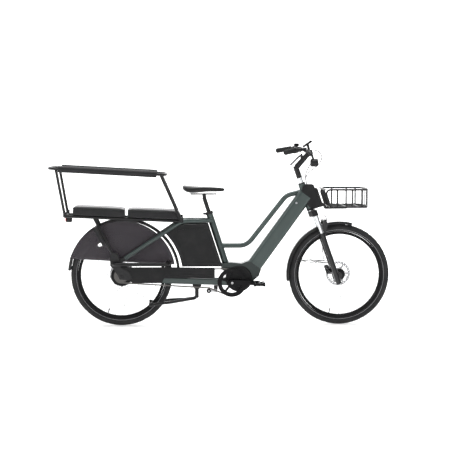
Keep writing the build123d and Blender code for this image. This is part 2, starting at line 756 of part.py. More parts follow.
with BuildPart() as frame_fittings:
    # Headset cups
    for low, high, spigot in (
        (CROWN_TOP + 5, HEAD_LOW, HEAD_LOW + 14),
        (HEAD_TOP, HEAD_TOP + 8, HEAD_TOP - 14),
    ):
        rod(head(0, 0, low), head(0, 0, high), HEAD_TUBE_RADIUS - 1)
        rod(head(0, 0, (low + high) / 2), head(0, 0, spigot), HEAD_BORE)
    bore(head(0, 0, CROWN_TOP), head(0, 0, HEAD_TOP + 40), STEERER_RADIUS + RUNNING_GAP)
    # Seat clamp with its pinch bolt
    rod(SEAT_TOP - SEAT_DIRECTION * 12, SEAT_TOP + SEAT_DIRECTION * 4, SEAT_TUBE_RADIUS + 4)
    clamp_point = SEAT_TOP - SEAT_DIRECTION * 4 + Vector(-30, 0, -6)
    with BuildSketch(view(clamp_point)) as clamp_ear:
        RectangleRounded(20, 12, 3)
    extrude(clamp_ear.sketch, amount=12, both=True)
    rod(clamp_point + Vector(-4, -17, 0), clamp_point + Vector(-4, 17, 0), 4)
    bore(SEAT_TOP - SEAT_DIRECTION * 20, SEAT_TOP, SEAT_TUBE_RADIUS)
    bore(SEAT_TOP - SEAT_DIRECTION * 20, SEAT_TOP + SEAT_DIRECTION * 10, POST_RADIUS + RUNNING_GAP)
    # Ears and pin of the centre stand
    for side in SIDES:
        slab(
            view(rear(STAND_FORWARD, side * 38, STAND_DROP)),
            [(-34, 17.5), (34, 15), (14, -14), (-14, -14)],
            5,
            5,
        )
    rod(rear(STAND_FORWARD, -40.5, STAND_DROP), rear(STAND_FORWARD, 40.5, STAND_DROP), STAND_PIN)
    # Rear axle with its nuts
    nut_start = REAR_DROPOUT_Y + DROPOUT_PLATE
    axle_half = nut_start + NUT_HEIGHT + STUB_LENGTH
    rod(REAR_AXLE + Vector(0, -axle_half, 0), REAR_AXLE + Vector(0, axle_half, 0), AXLE_RADIUS)
    for side in SIDES:
        with BuildSketch(view(REAR_AXLE + Vector(0, side * (nut_start + NUT_HEIGHT / 2), 0))) as nut_section:
            RegularPolygon(9, 6)
        extrude(nut_section.sketch, amount=NUT_HEIGHT / 2, both=True)
    # Hanger and pin of the chain tensioner
    slab(
        view(TENSIONER_PIVOT + Vector(0, -40.5, 0)),
        [(-10, -12), (10, -12), (14, 33), (-14, 33.5)],
        5,
        3,
    )
    rod(TENSIONER_PIVOT + Vector(0, -38, 0), TENSIONER_PIVOT + Vector(0, -49.5, 0), 4)
    add(chain_stays.part, mode=Mode.SUBTRACT)

with BuildPart() as tensioner_arm:
    with BuildSketch(view(TENSIONER_PIVOT + Vector(0, -46, 0))) as arm_plate:
        with BuildLine():
            Polyline((0, 9), (-46, 6), (-46, -10), (0, -9), close=True)
        make_face()
        Circle(9)
        with Locations((-46, -2)):
            Circle(8)
    extrude(arm_plate.sketch, amount=2, both=True)
    rod(IDLER_POINT + Vector(0, -46, 0), IDLER_POINT + Vector(0, -61, 0), 3)
    rod(IDLER_POINT + Vector(0, -59.5, 0), IDLER_POINT + Vector(0, -62.5, 0), 5.5)
    bore(TENSIONER_PIVOT, TENSIONER_PIVOT + Vector(0, -60, 0), 4 + RUNNING_GAP)

with BuildPart() as tensioner_roller:
    rod(IDLER_POINT + Vector(0, -49, 0), IDLER_POINT + Vector(0, -59, 0), IDLER_RADIUS)
    bore(IDLER_POINT, IDLER_POINT + Vector(0, -80, 0), 3 + RUNNING_GAP)

with BuildPart() as chain_case:
    slab(
        view(rear(0, -68, 0)),
        [(-8, 58), (70, -46), (262, -46), (276, -14), (606, -14), (606, 53), (300, 58)],
        3,
        8,
    )
    with BuildSketch(view(rear(0, -64, 0))) as case_lip:
        Polygon((40, 54.5), (600, 50), (600, 53), (40, 57.5), align=None)
    extrude(case_lip.sketch, amount=3, both=True)
    rod(rear(280, -69.5, 4), rear(600, -69.5, 4), 3)
    add(chain_stays.part, mode=Mode.SUBTRACT)

# ---------------------------------------------------------------- guards, panels and deck
GUARD_FORWARD = 16.3
GUARD_UP = 8.7
REAR_GUARD_RADIUS = TYRE_RADIUS + REAR_GUARD_GAP
FRONT_GUARD_RADIUS = TYRE_RADIUS + FRONT_GUARD_GAP


def guard(centre, radius, first_angle, last_angle, lip):
    """Add a U-section mudguard round an arc; the angles run from forwards to upwards."""
    start = math.radians(first_angle)
    outwards = Vector(math.cos(start), 0, math.sin(start))
    half = GUARD_WIDTH / 2
    inner = half - GUARD_THICKNESS
    with BuildSketch(Plane(origin=centre, x_dir=(0, 1, 0), z_dir=(outwards.Z, 0, -outwards.X))) as section:
        with BuildLine() as crown:
            Polyline(
                (0, radius - GUARD_THICKNESS),
                (inner - 8, radius - GUARD_THICKNESS),
                (inner, radius - 9),
                (inner, radius - lip),
                (half, radius - lip),
                (half, radius - 8),
                (half - 9, radius),
                (0, radius),
                close=True,
            )
        make_face()
        mirror(about=Plane.YZ)
    revolve(section.sketch, axis=Axis(centre, (0, -1, 0)), revolution_arc=last_angle - first_angle)


GUARD_CENTRE = rear(GUARD_FORWARD, 0, GUARD_UP)

with BuildPart() as rear_mudguard:
    guard(GUARD_CENTRE, REAR_GUARD_RADIUS, 4, 176, 18)

with BuildPart() as wheel_skirts:
    skirt_radius = TYRE_RADIUS + 23
    rear_low = 112.0
    front_low = 71.0
    rear_end = (-math.sqrt(skirt_radius**2 - rear_low**2), rear_low)
    front_end = (math.sqrt(skirt_radius**2 - front_low**2), front_low)
    for side in SIDES:
        with BuildSketch(view(rear(0, side * (SKIRT_Y + SKIRT_THICKNESS / 2), 0))) as skirt_section:
            with BuildLine():
                ThreePointArc(rear_end, (0, skirt_radius), front_end)
                Line(front_end, rear_end)
            make_face()
            with Locations(Location((-132, 202), 28)):
                Ellipse(27, 13, mode=Mode.SUBTRACT)
        extrude(skirt_section.sketch, amount=SKIRT_THICKNESS / 2, both=True)

PANEL_ARC = TYRE_RADIUS + 68
PANEL_LOW = 60.0
PANEL_TOP = DECK_Z - AXLE_Z - 34
PANEL_SHOULDER = 288.0


def panel_outline():
    """Draw a side panel between the mudguard, the upper stay and the seat tube."""
    corner = (PANEL_SHOULDER, math.sqrt(PANEL_ARC**2 - PANEL_SHOULDER**2))
    low_start = (math.sqrt(PANEL_ARC**2 - PANEL_LOW**2), PANEL_LOW)
    middle_angle = (math.atan2(corner[1], corner[0]) + math.atan2(low_start[1], low_start[0])) / 2
    tube_edge = SEAT_TUBE_RADIUS / SEAT_DIRECTION.Z + 5
    seat_low = seat_point(AXLE_Z + PANEL_LOW).X - REAR_X - tube_edge
    seat_high = seat_point(AXLE_Z + PANEL_TOP).X - REAR_X - tube_edge
    bend_x = corner[0] + (PANEL_TOP - 14 - corner[1]) * 1.45
    ThreePointArc(low_start, (PANEL_ARC * math.cos(middle_angle), PANEL_ARC * math.sin(middle_angle)), corner)
    Polyline(
        corner,
        (bend_x, PANEL_TOP - 14),
        (bend_x + 60, PANEL_TOP),
        (seat_high, PANEL_TOP),
        (seat_low, PANEL_LOW),
        low_start,
    )


with BuildPart() as side_panels:
    for side in SIDES:
        with BuildSketch(view(rear(0, side * PANEL_OUTER_Y, 0))) as panel_face:
            with BuildLine():
                panel_outline()
            make_face()
        extrude(panel_face.sketch, amount=PANEL_DEPTH, dir=(0, -side, 0))
        with BuildSketch(view(rear(0, side * PANEL_OUTER_Y, 0))) as panel_field:
            with BuildLine():
                panel_outline()
            make_face()
            offset(amount=-30, kind=Kind.INTERSECTION)
            fillet(panel_field.vertices(), 12)
        extrude(panel_field.sketch, amount=4, dir=(0, side, 0))
        with BuildSketch(view(rear(0, side * (PANEL_OUTER_Y - PANEL_WALL), 0))) as panel_back:
            with BuildLine():
                panel_outline()
            make_face()
            offset(amount=-PANEL_WALL, kind=Kind.INTERSECTION)
        extrude(panel_back.sketch, amount=PANEL_DEPTH, dir=(0, -side, 0), mode=Mode.SUBTRACT)
    add(seat_stays.part, mode=Mode.SUBTRACT)

def seat_pad(start, end):
    """Add one padded seat between two stations along the deck."""
    outline = [
        (start, pad_low(start)),
        (end, pad_low(end)),
        (end, pad_low(end) + PAD_THICKNESS),
        (start, pad_low(start) + PAD_THICKNESS),
    ]
    with BuildSketch(view(deck(0, 0, 0))) as section:
        Polygon(*outline, align=None)
    extrude(section.sketch, amount=PAD_WIDTH / 2, both=True)


with BuildPart() as seat_pads:
    seat_pad(DECK_REAR, 24)
    seat_pad(41, DECK_FRONT)
    fillet(seat_pads.faces().filter_by(lambda face: face.normal_at().Z > 0.9).edges(), 14)

RACK_REAR = -368.0
RACK_FRONT = 402.0
FOOT_INSET = 12.0
LEG_FOOT_Y = PAD_WIDTH / 2 + 14

with BuildPart() as rack_frame:
    for side in SIDES:
        rod(
            deck(RACK_REAR, side * RACK_Y, rail_low(RACK_REAR)),
            deck(RACK_FRONT, side * RACK_Y, rail_low(RACK_FRONT)),
            RACK_TUBE_RADIUS,
        )
    for bar_x, bar_half in (
        (RACK_REAR + FOOT_INSET, LEG_FOOT_Y),
        (-190, RACK_Y),
        (225, RACK_Y),
        (RACK_FRONT - FOOT_INSET, LEG_FOOT_Y),
    ):
        rod(
            deck(bar_x, -bar_half, rail_low(bar_x)),
            deck(bar_x, bar_half, rail_low(bar_x)),
            RACK_TUBE_RADIUS - 1,
        )
    for side in SIDES:
        rod(
            rear(STRUT_FOOT.X, side * RACK_Y, STRUT_FOOT.Y),
            deck(STRUT_HEAD_X, side * RACK_Y, rail_low(STRUT_HEAD_X)),
            9,
        )
    # Bridge that ties the mudguard to both upper stays
    bridge_angle = math.radians(46)
    bridge_reach = REAR_GUARD_RADIUS + 7
    bridge_point = GUARD_CENTRE + Vector(math.cos(bridge_angle), 0, math.sin(bridge_angle)) * bridge_reach
    rod(bridge_point + Vector(0, -58, 0), bridge_point + Vector(0, 58, 0), 6.5)
    for side in SIDES:
        rod(bridge_point + Vector(0, side * 22, 0), bridge_point + Vector(0, side * 22, 16), 5)
    add(rear_mudguard.part, mode=Mode.SUBTRACT)
    add(seat_stays.part, mode=Mode.SUBTRACT)
    add(foot_rails.part, mode=Mode.SUBTRACT)

RAIL_REAR = -TAIL_OVERHANG + RAIL_RADIUS
RAIL_FRONT = 290.0
RAIL_REAR_UP = 331.0
RAIL_FRONT_UP = 289.0


def ring_up(x):
    """Height of the passenger rail above the deck datum."""
    return RAIL_REAR_UP + (RAIL_FRONT_UP - RAIL_REAR_UP) * (x - RAIL_REAR) / (RAIL_FRONT - RAIL_REAR)


with BuildPart() as passenger_rail:
    middle_x = (RAIL_REAR + RAIL_FRONT) / 2
    ring_points = [
        deck(middle_x, -RAIL_Y, ring_up(middle_x)),
        deck(RAIL_FRONT, -RAIL_Y, ring_up(RAIL_FRONT)),
        deck(RAIL_FRONT, RAIL_Y, ring_up(RAIL_FRONT)),
        deck(middle_x, RAIL_Y, ring_up(middle_x)),
    ]
    bent_tube(ring_points, RAIL_RADIUS, [60, 60])
    back_points = [
        deck(middle_x, -RAIL_Y, ring_up(middle_x)),
        deck(RAIL_REAR, -RAIL_Y, ring_up(RAIL_REAR)),
        deck(RAIL_REAR, RAIL_Y, ring_up(RAIL_REAR)),
        deck(middle_x, RAIL_Y, ring_up(middle_x)),
    ]
    bent_tube(back_points, RAIL_RADIUS, [60, 60])
    for side in SIDES:
        foot_y = side * LEG_FOOT_Y
        for foot_x, top_x in (
            (RACK_REAR + FOOT_INSET, RAIL_REAR + 46),
            (RACK_FRONT - FOOT_INSET, RAIL_FRONT - 34),
        ):
            foot_up = rail_low(foot_x)
            top_point = deck(top_x, side * (RAIL_Y - 2), ring_up(top_x))
            rod(deck(foot_x, foot_y, foot_up), top_point, RAIL_RADIUS)
            rod(deck(foot_x, foot_y, foot_up - 6), deck(foot_x, foot_y, foot_up + 28), RAIL_RADIUS + 3)
    add(rack_frame.part, mode=Mode.SUBTRACT)

with BuildPart() as rail_pads:
    for side in SIDES:
        sleeve_start = deck(-396, side * RAIL_Y, ring_up(-396))
        sleeve_end = deck(232, side * RAIL_Y, ring_up(232))
        rod(sleeve_start, sleeve_end, SLEEVE_RADIUS)
    add(passenger_rail.part, mode=Mode.SUBTRACT)

with BuildPart() as rear_light:
    light_point = deck(-335, 0, -6)
    rod(light_point + Vector(-22, 0, 0), light_point + Vector(16, 0, 0), 17)
    fillet(rear_light.edges().filter_by(GeomType.CIRCLE).sort_by(Axis.X)[-1], 8)
    slab(view(light_point), [(-6, 10), (-26, 24), (-14, 38), (8, 10)], 14)
    add(rack_frame.part, mode=Mode.SUBTRACT)

with BuildPart() as rear_lens:
    rod(light_point + Vector(-28, 0, 0), light_point + Vector(-22, 0, 0), 15.5)
    fillet(rear_lens.edges().filter_by(GeomType.CIRCLE).sort_by(Axis.X)[0], 4)

# ---------------------------------------------------------------- head cover and basket
with BuildPart() as head_cover:
    cover_outline = [
        (25, HEAD_LOW + 158),
        (69, HEAD_LOW + 142),
        (74, HEAD_LOW + 7),
        (60, HEAD_LOW - 12),
        (26, HEAD_LOW - 12),
        (-6, HEAD_LOW + 11),
        (-20, HEAD_LOW + 63),
        (-19, HEAD_LOW + 118),
        (-4, HEAD_LOW + 150),
    ]
    cover_view = view(head(0, 0, 0), FORWARD)
    with BuildSketch(cover_view) as cover_section:
        Polygon(*cover_outline, align=None)
        fillet(cover_section.vertices(), 7)
    extrude(cover_section.sketch, amount=37, both=True)
    with BuildSketch(cover_view) as cover_hollow:
        Polygon(*cover_outline, align=None)
        offset(amount=-3.5)
    extrude(cover_hollow.sketch, amount=33.5, both=True, mode=Mode.SUBTRACT)
    for side in SIDES:
        for screw_up in (HEAD_LOW + 42, HEAD_LOW + 143):
            rod(head(9, side * 33, screw_up), head(9, side * 39, screw_up), 9)
    bore(head(0, 0, CROWN_LOW), head(0, 0, HEAD_TOP + 60), HEAD_TUBE_RADIUS)
    add(down_tube.part, mode=Mode.SUBTRACT)
    add(top_tube.part, mode=Mode.SUBTRACT)

BASKET_CORNER = head(74, 0, HEAD_LOW + 3)
BASKET_FLOOR = -12.0
BASKET_FOOT_X = 48.0  # lower back tube, ahead of the corner
BASKET_LEAN_X = 12.0  # upper back tube, ahead of the corner
BASKET_FRONT = BASKET_LENGTH + BASKET_LEAN_X
BASKET_JOIN = BASKET_FRONT - 42


def basket(x, y, z):
    """A point measured from the lower corner where the basket meets its mount."""
    return BASKET_CORNER + Vector(x, y, z)


with BuildPart() as basket_frame:
    top = BASKET_FLOOR + BASKET_HEIGHT
    for side in SIDES:
        bent_tube(
            [
                basket(BASKET_JOIN, side * BASKET_HALF_WIDTH, top),
                basket(BASKET_LEAN_X, side * BASKET_HALF_WIDTH, top),
                basket(BASKET_FOOT_X, side * BASKET_HALF_WIDTH, BASKET_FLOOR),
                basket(BASKET_JOIN, side * BASKET_HALF_WIDTH, BASKET_FLOOR),
            ],
            BASKET_TUBE,
            [26, 16],
        )
        for bar_x in (92, 190, 250):
            rod(
                basket(bar_x, side * BASKET_HALF_WIDTH, BASKET_FLOOR),
                basket(bar_x, side * BASKET_HALF_WIDTH, top),
                BASKET_TUBE - 1,
            )
    for level in (BASKET_FLOOR, top):
        bent_tube(
            [
                basket(BASKET_JOIN, -BASKET_HALF_WIDTH, level),
                basket(BASKET_FRONT - 22, -BASKET_HALF_WIDTH, level),
                basket(BASKET_FRONT, 0, level),
                basket(BASKET_FRONT - 22, BASKET_HALF_WIDTH, level),
                basket(BASKET_JOIN, BASKET_HALF_WIDTH, level),
            ],
            BASKET_TUBE,
            [22, 300, 22],
        )
    for bar_y in (-100, -50, 0, 50, 100):
        bow = BASKET_FRONT - 2.5 - 22 * (bar_y / BASKET_HALF_WIDTH) ** 2
        rod(basket(bow, bar_y, BASKET_FLOOR), basket(bow, bar_y, top), BASKET_WIRE)
        rod(basket(BASKET_FOOT_X, bar_y, BASKET_FLOOR), basket(bow, bar_y, BASKET_FLOOR), BASKET_WIRE)
        rod(basket(BASKET_FOOT_X, bar_y, BASKET_FLOOR), basket(BASKET_LEAN_X, bar_y, top), BASKET_WIRE)
    for level, cross_x in (
        (BASKET_FLOOR, BASKET_FOOT_X),
        (top, BASKET_LEAN_X),
        (BASKET_FLOOR, 150),
        (BASKET_FLOOR, 230),
    ):
        rod(
            basket(cross_x, -BASKET_HALF_WIDTH, level),
            basket(cross_x, BASKET_HALF_WIDTH, level),
            BASKET_TUBE - 0.8,
        )
    # Mount on the head cover, with its cradle under the basket
    for side in SIDES:
        slab(
            view(basket(0, side * 24, 0)),
            [(0, 8), (10, 12), (34, -8), (40, -18), (170, -21), (170, -30), (26, -31), (23, -13), (-6, -19)],
            10,
        )
        slab(
            view(head(0, side * 24, HEAD_LOW + 10), FORWARD),
            [(74, 0), (86, 0), (86, 100), (74, 104)],
            10,
        )
    with BuildSketch(Plane(origin=basket(110, 0, BASKET_FLOOR - 4), z_dir=(0, 0, -1))) as cradle:
        RectangleRounded(120, 90, 8)
    extrude(cradle.sketch, amount=5)
    add(head_cover.part, mode=Mode.SUBTRACT)

# ---------------------------------------------------------------- fork
with BuildPart() as fork_upper:
    rod(head(0, 0, CROWN_TOP - 4), head(0, 0, STEM_LOW + 40), STEERER_RADIUS)
    rod(head(0, 0, CROWN_TOP - 2), head(0, 0, CROWN_TOP + 5 - RUNNING_GAP), 21)
    for low, high in ((HEAD_TOP + 8 + RUNNING_GAP, HEAD_TOP + 24), (HEAD_TOP + 24.6, STEM_LOW)):
        rod(head(0, 0, low), head(0, 0, high), SPACER_RADIUS)
    rod(head(0, 0, HEAD_TOP + 20), head(0, 0, STEM_LOW), SPACER_RADIUS - 1)
    with BuildSketch(Plane(origin=head(LEG_LEAD, 0, CROWN_LOW), x_dir=(0, 1, 0), z_dir=UPWARD)) as crown_plan:
        with BuildLine():
            Polyline(
                (-LEG_Y, -19),
                (-20, 2),
                (20, 2),
                (LEG_Y, -19),
                (LEG_Y + 19, 0),
                (LEG_Y, 19),
                (24, 38),
                (-24, 38),
                (-LEG_Y, 19),
                (-LEG_Y - 19, 0),
                close=True,
            )
        make_face()
        fillet(crown_plan.vertices(), 8)
    extrude(crown_plan.sketch, amount=CROWN_HEIGHT)
    for side in SIDES:
        rod(
            head(LEG_LEAD, side * LEG_Y, LEG_TOP - 120),
            head(LEG_LEAD, side * LEG_Y, CROWN_LOW + 8),
            STANCHION_RADIUS,
        )

with BuildPart() as fork_lowers:
    for side in SIDES:
        rod(
            head(LEG_LEAD, side * LEG_Y, -52),
            head(LEG_LEAD, side * LEG_Y, LEG_TOP),
            LEG_RADIUS,
        )
        rod(
            head(LEG_LEAD, side * LEG_Y, LEG_TOP - 22),
            head(LEG_LEAD, side * LEG_Y, LEG_TOP),
            LEG_RADIUS + 2,
        )
        rod(FRONT_AXLE + Vector(0, side * 50, 0), FRONT_AXLE + Vector(0, side * 66, 0), 15)
        slab(
            view(head(0, side * 57, 0), FORWARD),
            [
                (LEG_LEAD, -44),
                (LEG_LEAD + 20, -34),
                (FORK_OFFSET + 14, -6),
                (FORK_OFFSET + 12, 10),
                (LEG_LEAD, 46),
            ],
            14,
        )
        slab(
            view(head(0, side * 57, 0), FORWARD),
            [
                (LEG_LEAD - 8, LEG_TOP - 4),
                (LEG_LEAD + 14, LEG_TOP - 30),
                (LEG_LEAD + 58, LEG_TOP + 46),
                (LEG_LEAD + 52, LEG_TOP + 76),
                (LEG_LEAD + 36, LEG_TOP + 74),
            ],
            10,
        )
    slab(
        view(head(0, 0, 0), FORWARD),
        [
            (LEG_LEAD + 38, LEG_TOP + 62),
            (LEG_LEAD + 56, LEG_TOP + 58),
            (LEG_LEAD + 54, LEG_TOP + 76),
            (LEG_LEAD + 36, LEG_TOP + 76),
        ],
        124,
    )
    for side in SIDES:
        bore(
            head(LEG_LEAD, side * LEG_Y, LEG_TOP - 190),
            head(LEG_LEAD, side * LEG_Y, LEG_TOP + 90),
            STANCHION_RADIUS + RUNNING_GAP,
        )
    # Through axle
    rod(FRONT_AXLE + Vector(0, -68, 0), FRONT_AXLE + Vector(0, 68, 0), AXLE_RADIUS)

with BuildPart() as front_caliper:
    with BuildSketch(view(front(-72, FRONT_ROTOR_Y, 28), UPWARD)) as caliper_body:
        RectangleRounded(60, 28, 8)
    extrude(caliper_body.sketch, amount=9, both=True)
    with BuildSketch(view(FRONT_AXLE + Vector(0, FRONT_ROTOR_Y, 0))) as front_slot:
        Circle(ROTOR_RADIUS + 1)
    extrude(front_slot.sketch, amount=ROTOR_THICKNESS / 2 + 0.5, both=True, mode=Mode.SUBTRACT)
    slab(
        view(front(-62, FRONT_ROTOR_Y + 9, 20), UPWARD),
        [(-22, -30), (22, -30), (24, 6), (-24, 6)],
        6,
    )
    add(fork_lowers.part, mode=Mode.SUBTRACT)

with BuildPart() as front_mudguard:
    guard(FRONT_AXLE, FRONT_GUARD_RADIUS, 76, 187, 16)
    # Wire stays from the fork legs to the guard's lip
    stay_reach = FRONT_GUARD_RADIUS - 6
    for side in SIDES:
        hold = head(LEG_LEAD - 10, side * (LEG_Y - 8), 96)
        for stay_angle in (math.radians(162), math.radians(165)):
            stay_x = stay_reach * math.cos(stay_angle)
            stay_z = stay_reach * math.sin(stay_angle)
            rod(hold, front(stay_x, side * (GUARD_WIDTH / 2 - 1), stay_z), 2)
    add(fork_lowers.part, mode=Mode.SUBTRACT)

# ---------------------------------------------------------------- cockpit
STEM_ELBOW = head(2, 0, STEM_LOW + 72)
CLAMP = cockpit(0, 0, 0)

with BuildPart() as stem:
    rod(head(0, 0, STEM_LOW), head(0, 0, STEM_LOW + 82), 18)
    fillet(stem.edges().filter_by(GeomType.CIRCLE).sort_by(Axis.Z)[-1], 8)
    stem_run = CLAMP - STEM_ELBOW
    with BuildSketch(Plane(origin=STEM_ELBOW, x_dir=(0, 1, 0), z_dir=stem_run)) as stem_root:
        RectangleRounded(35, 36, 12)
    with BuildSketch(Plane(origin=CLAMP, x_dir=(0, 1, 0), z_dir=stem_run)) as stem_end:
        RectangleRounded(38, 32, 10)
    loft([stem_root.sketch.face(), stem_end.sketch.face()])
    rod(cockpit(0, -24, 0), cockpit(0, 24, 0), CLAMP_RADIUS)
    bore(head(0, 0, HEAD_TOP), head(0, 0, STEM_LOW + 40), STEERER_RADIUS)
    bore(cockpit(0, -60, 0), cockpit(0, 60, 0), BAR_RADIUS + 1)
    for side in SIDES:
        rod(head(62, side * 11, CLAMP_UP - 14), head(62, side * 16, CLAMP_UP - 14), 13)
        bore(head(62, side * 20, CLAMP_UP + 2), head(62, 0, CLAMP_UP + 2), 3)

with BuildPart() as stem_lever:
    lever_pivot = head(62, 0, CLAMP_UP + 6)
    slab(
        view(lever_pivot, FORWARD),
        [(4, 4), (-26, -4), (-92, -37), (-96, -44), (-90, -45), (-26, -15), (4, -4)],
        20,
    )
    rod(lever_pivot + Vector(0, -10, 0), lever_pivot + Vector(0, 10, 0), 6)

BAR_END = Vector(-183, BAR_WIDTH / 2 - 11, 8)
BAR_SWEEP = Vector(-88, BAR_WIDTH / 2 - 95, 26)


def bar_side(point, side):
    """A cockpit point on the chosen side."""
    return cockpit(point.X, side * point.Y, point.Z)


GRIP_WAY = (BAR_SWEEP - BAR_END).normalized()


def grip_point(side, distance):
    """A point of the grip's axis at a distance from the bar's end."""
    return bar_side(BAR_END + GRIP_WAY * distance, side)


with BuildPart() as handlebar:
    bent_tube(
        [
            bar_side(BAR_END, -1),
            bar_side(BAR_SWEEP, -1),
            cockpit(-36, -92, 24),
            cockpit(0, -42, 0),
            cockpit(0, 42, 0),
            cockpit(-36, 92, 24),
            bar_side(BAR_SWEEP, 1),
            bar_side(BAR_END, 1),
        ],
        BAR_RADIUS,
        [50, 60, 24, 24, 60, 50],
    )
    rod(cockpit(0, -24, 0), cockpit(0, 24, 0), BAR_RADIUS + 1)

with BuildPart() as grips:
    for side, length in ((-1, GRIP_LENGTH - SHIFTER_LENGTH - 1), (1, GRIP_LENGTH)):
        rod(grip_point(side, -1.5), grip_point(side, length), GRIP_RADIUS)
        rod(grip_point(side, -0.5), grip_point(side, 5), GRIP_RADIUS + 0.8)
    add(handlebar.part, mode=Mode.SUBTRACT)

with BuildPart() as shifter:
    rod(
        grip_point(-1, GRIP_LENGTH - SHIFTER_LENGTH),
        grip_point(-1, GRIP_LENGTH - 2),
        GRIP_RADIUS + 1.5,
    )
    bore(grip_point(-1, 0), grip_point(-1, GRIP_LENGTH + 20), BAR_RADIUS + RUNNING_GAP)

# The levers stand ahead of the grips and lie level; they turn on upright pins
LEVER_AHEAD = Vector(0.7, 0.714, 0)
LEVER_PIVOT = BAR_SWEEP + LEVER_AHEAD * LEVER_REACH
LEVER_TIP = LEVER_PIVOT - GRIP_WAY * LEVER_LENGTH
MASTER_REAR = Vector(-40, BAR_WIDTH / 2 - 135, 27)
RING_REAR = Vector(-80, BAR_WIDTH / 2 - 115, 25.7)

with BuildPart() as brake_masters:
    for side in SIDES:
        pivot = bar_side(LEVER_PIVOT, side)
        body_rear = bar_side(MASTER_REAR, side)
        body_way = (pivot - body_rear).normalized()
        rod(body_rear, pivot - body_way * 15, 9.5)
        for low, high in ((6.5, 10.5), (-10.5, -6.5)):
            rod(pivot + Vector(0, 0, low), pivot + Vector(0, 0, high), 11)
            lug_rear = pivot - body_way * 17
            rod(lug_rear + Vector(0, 0, low), lug_rear + Vector(0, 0, high), 9)
            with BuildSketch(Plane(origin=(pivot + lug_rear) / 2 + Vector(0, 0, low), x_dir=body_way)) as web:
                Rectangle(17, 18)
            extrude(web.sketch, amount=high - low)
        rod(pivot + Vector(0, 0, -10.5), pivot + Vector(0, 0, 10.5), LEVER_PIN)
        ring_low = bar_side(RING_REAR, side)
        ring_way = bar_side(BAR_SWEEP, side) - cockpit(-36, side * 92, 24)
        ring_half = ring_way.normalized() * 7
        rod(ring_low - ring_half, ring_low + ring_half, BAR_RADIUS + 5)
        rod(ring_low, body_rear + body_way * 14, 7)
    # Bell on the left-hand side
    bell_foot = cockpit(-66, 168, 25)
    rod(bell_foot + Vector(0, 0, 8), bell_foot + Vector(0, 0, 18), 9)
    rod(bell_foot + Vector(0, 0, 16), bell_foot + Vector(0, 0, 34), 17)
    add(handlebar.part, mode=Mode.SUBTRACT)


def brake_lever(side):
    """Add a two-finger lever with its pivot eye."""
    pivot = bar_side(LEVER_PIVOT, side)
    blade_way = bar_side(LEVER_TIP, side) - pivot
    with BuildSketch(Plane(origin=pivot, x_dir=blade_way, z_dir=(0, 0, 1))) as blade:
        Polygon((0, 5), (0, -5), (blade_way.length, -3.5), (blade_way.length, 3.5), align=None)
        Circle(7)
        with Locations((blade_way.length, 0)):
            Circle(5)
    extrude(blade.sketch, amount=4, both=True)
    bore(pivot + Vector(0, 0, -20), pivot + Vector(0, 0, 20), LEVER_PIN + RUNNING_GAP)


with BuildPart() as brake_lever_right:
    brake_lever(-1)

with BuildPart() as brake_lever_left:
    brake_lever(1)

with BuildPart() as display:
    screen_plane = Plane(origin=cockpit(-13, 0, 59), x_dir=(0.82, 0, 0.57), z_dir=(-0.57, 0, 0.82))
    with BuildSketch(screen_plane) as face:
        RectangleRounded(66, 78, 10)
    extrude(face.sketch, amount=6, both=True)
    rod(cockpit(0, 0, 20), cockpit(-10, 0, 54), 8)
    add(stem.part, mode=Mode.SUBTRACT)

with BuildPart() as headlight:
    rod(cockpit(8, 0, -65), cockpit(58, 0, -65), 26)
    fillet(headlight.edges().filter_by(GeomType.CIRCLE).sort_by(Axis.X)[0], 12)
    fillet(headlight.edges().filter_by(GeomType.CIRCLE).sort_by(Axis.X)[-1], 3)
    slab(view(cockpit(0, 0, 0)), [(10, -14), (26, -14), (34, -42), (22, -42)], 16)
    add(stem.part, mode=Mode.SUBTRACT)


def hose(points):
    """Sweep a hose through hand-placed points, with each bend as wide as its runs allow."""
    runs = [after - before for before, after in zip(points, points[1:])]
    bends = []
    for arriving, leaving in zip(runs, runs[1:]):
        half_turn = math.radians(arriving.get_angle(leaving)) / 2
        bends.append(0.45 * min(arriving.length, leaving.length) / math.tan(half_turn))
    bent_tube(points, HOSE_RADIUS, bends)


with BuildPart() as control_hoses:
    hose(
        [
            cockpit(-48, -170, 20),
            cockpit(0, -120, 22),
            cockpit(48, -60, 16),
            cockpit(82, -30, -12),
            cockpit(76, -32, -55),
            cockpit(40, -36, -95),
            cockpit(-5, -30, -125),
            cockpit(-27, -22, -160),
            cockpit(-16, -12, -203),
        ]
    )
    hose(
        [
            cockpit(-48, 170, 20),
            cockpit(0, 125, 18),
            cockpit(30, 70, 4),
            cockpit(34, 40, -30),
            cockpit(10, 36, -80),
            cockpit(-18, 24, -130),
            cockpit(-22, 16, -170),
            cockpit(-14, 14, -203),
        ]
    )

with BuildPart() as front_brake_hose:
    hose(
        [
            head(66, 6, 404),
            head(83, 24, 388),
            head(86, 41, 364),
            head(64, 41, 318),
            head(10, 41, 230),
            head(-14, 44, 160),
            head(-20, 46, 110),
        ]
    )

# ---------------------------------------------------------------- saddle
with BuildPart() as seatpost:
    rod(SADDLE_CLAMP - SEAT_DIRECTION * POST_LENGTH, SADDLE_CLAMP, POST_RADIUS)
    rod(SADDLE_CLAMP - SEAT_DIRECTION * 10, SADDLE_CLAMP + Vector(0, 0, 16), POST_RADIUS - 1)
    rod(SADDLE_CLAMP + Vector(0, -30, 16), SADDLE_CLAMP + Vector(0, 30, 16), 11)
    for side in SIDES:
        rod(
            SADDLE_CLAMP + Vector(-90, side * RAIL_SPREAD, RAIL_UP),
            SADDLE_CLAMP + Vector(80, side * RAIL_SPREAD, RAIL_UP),
            3.5,
        )

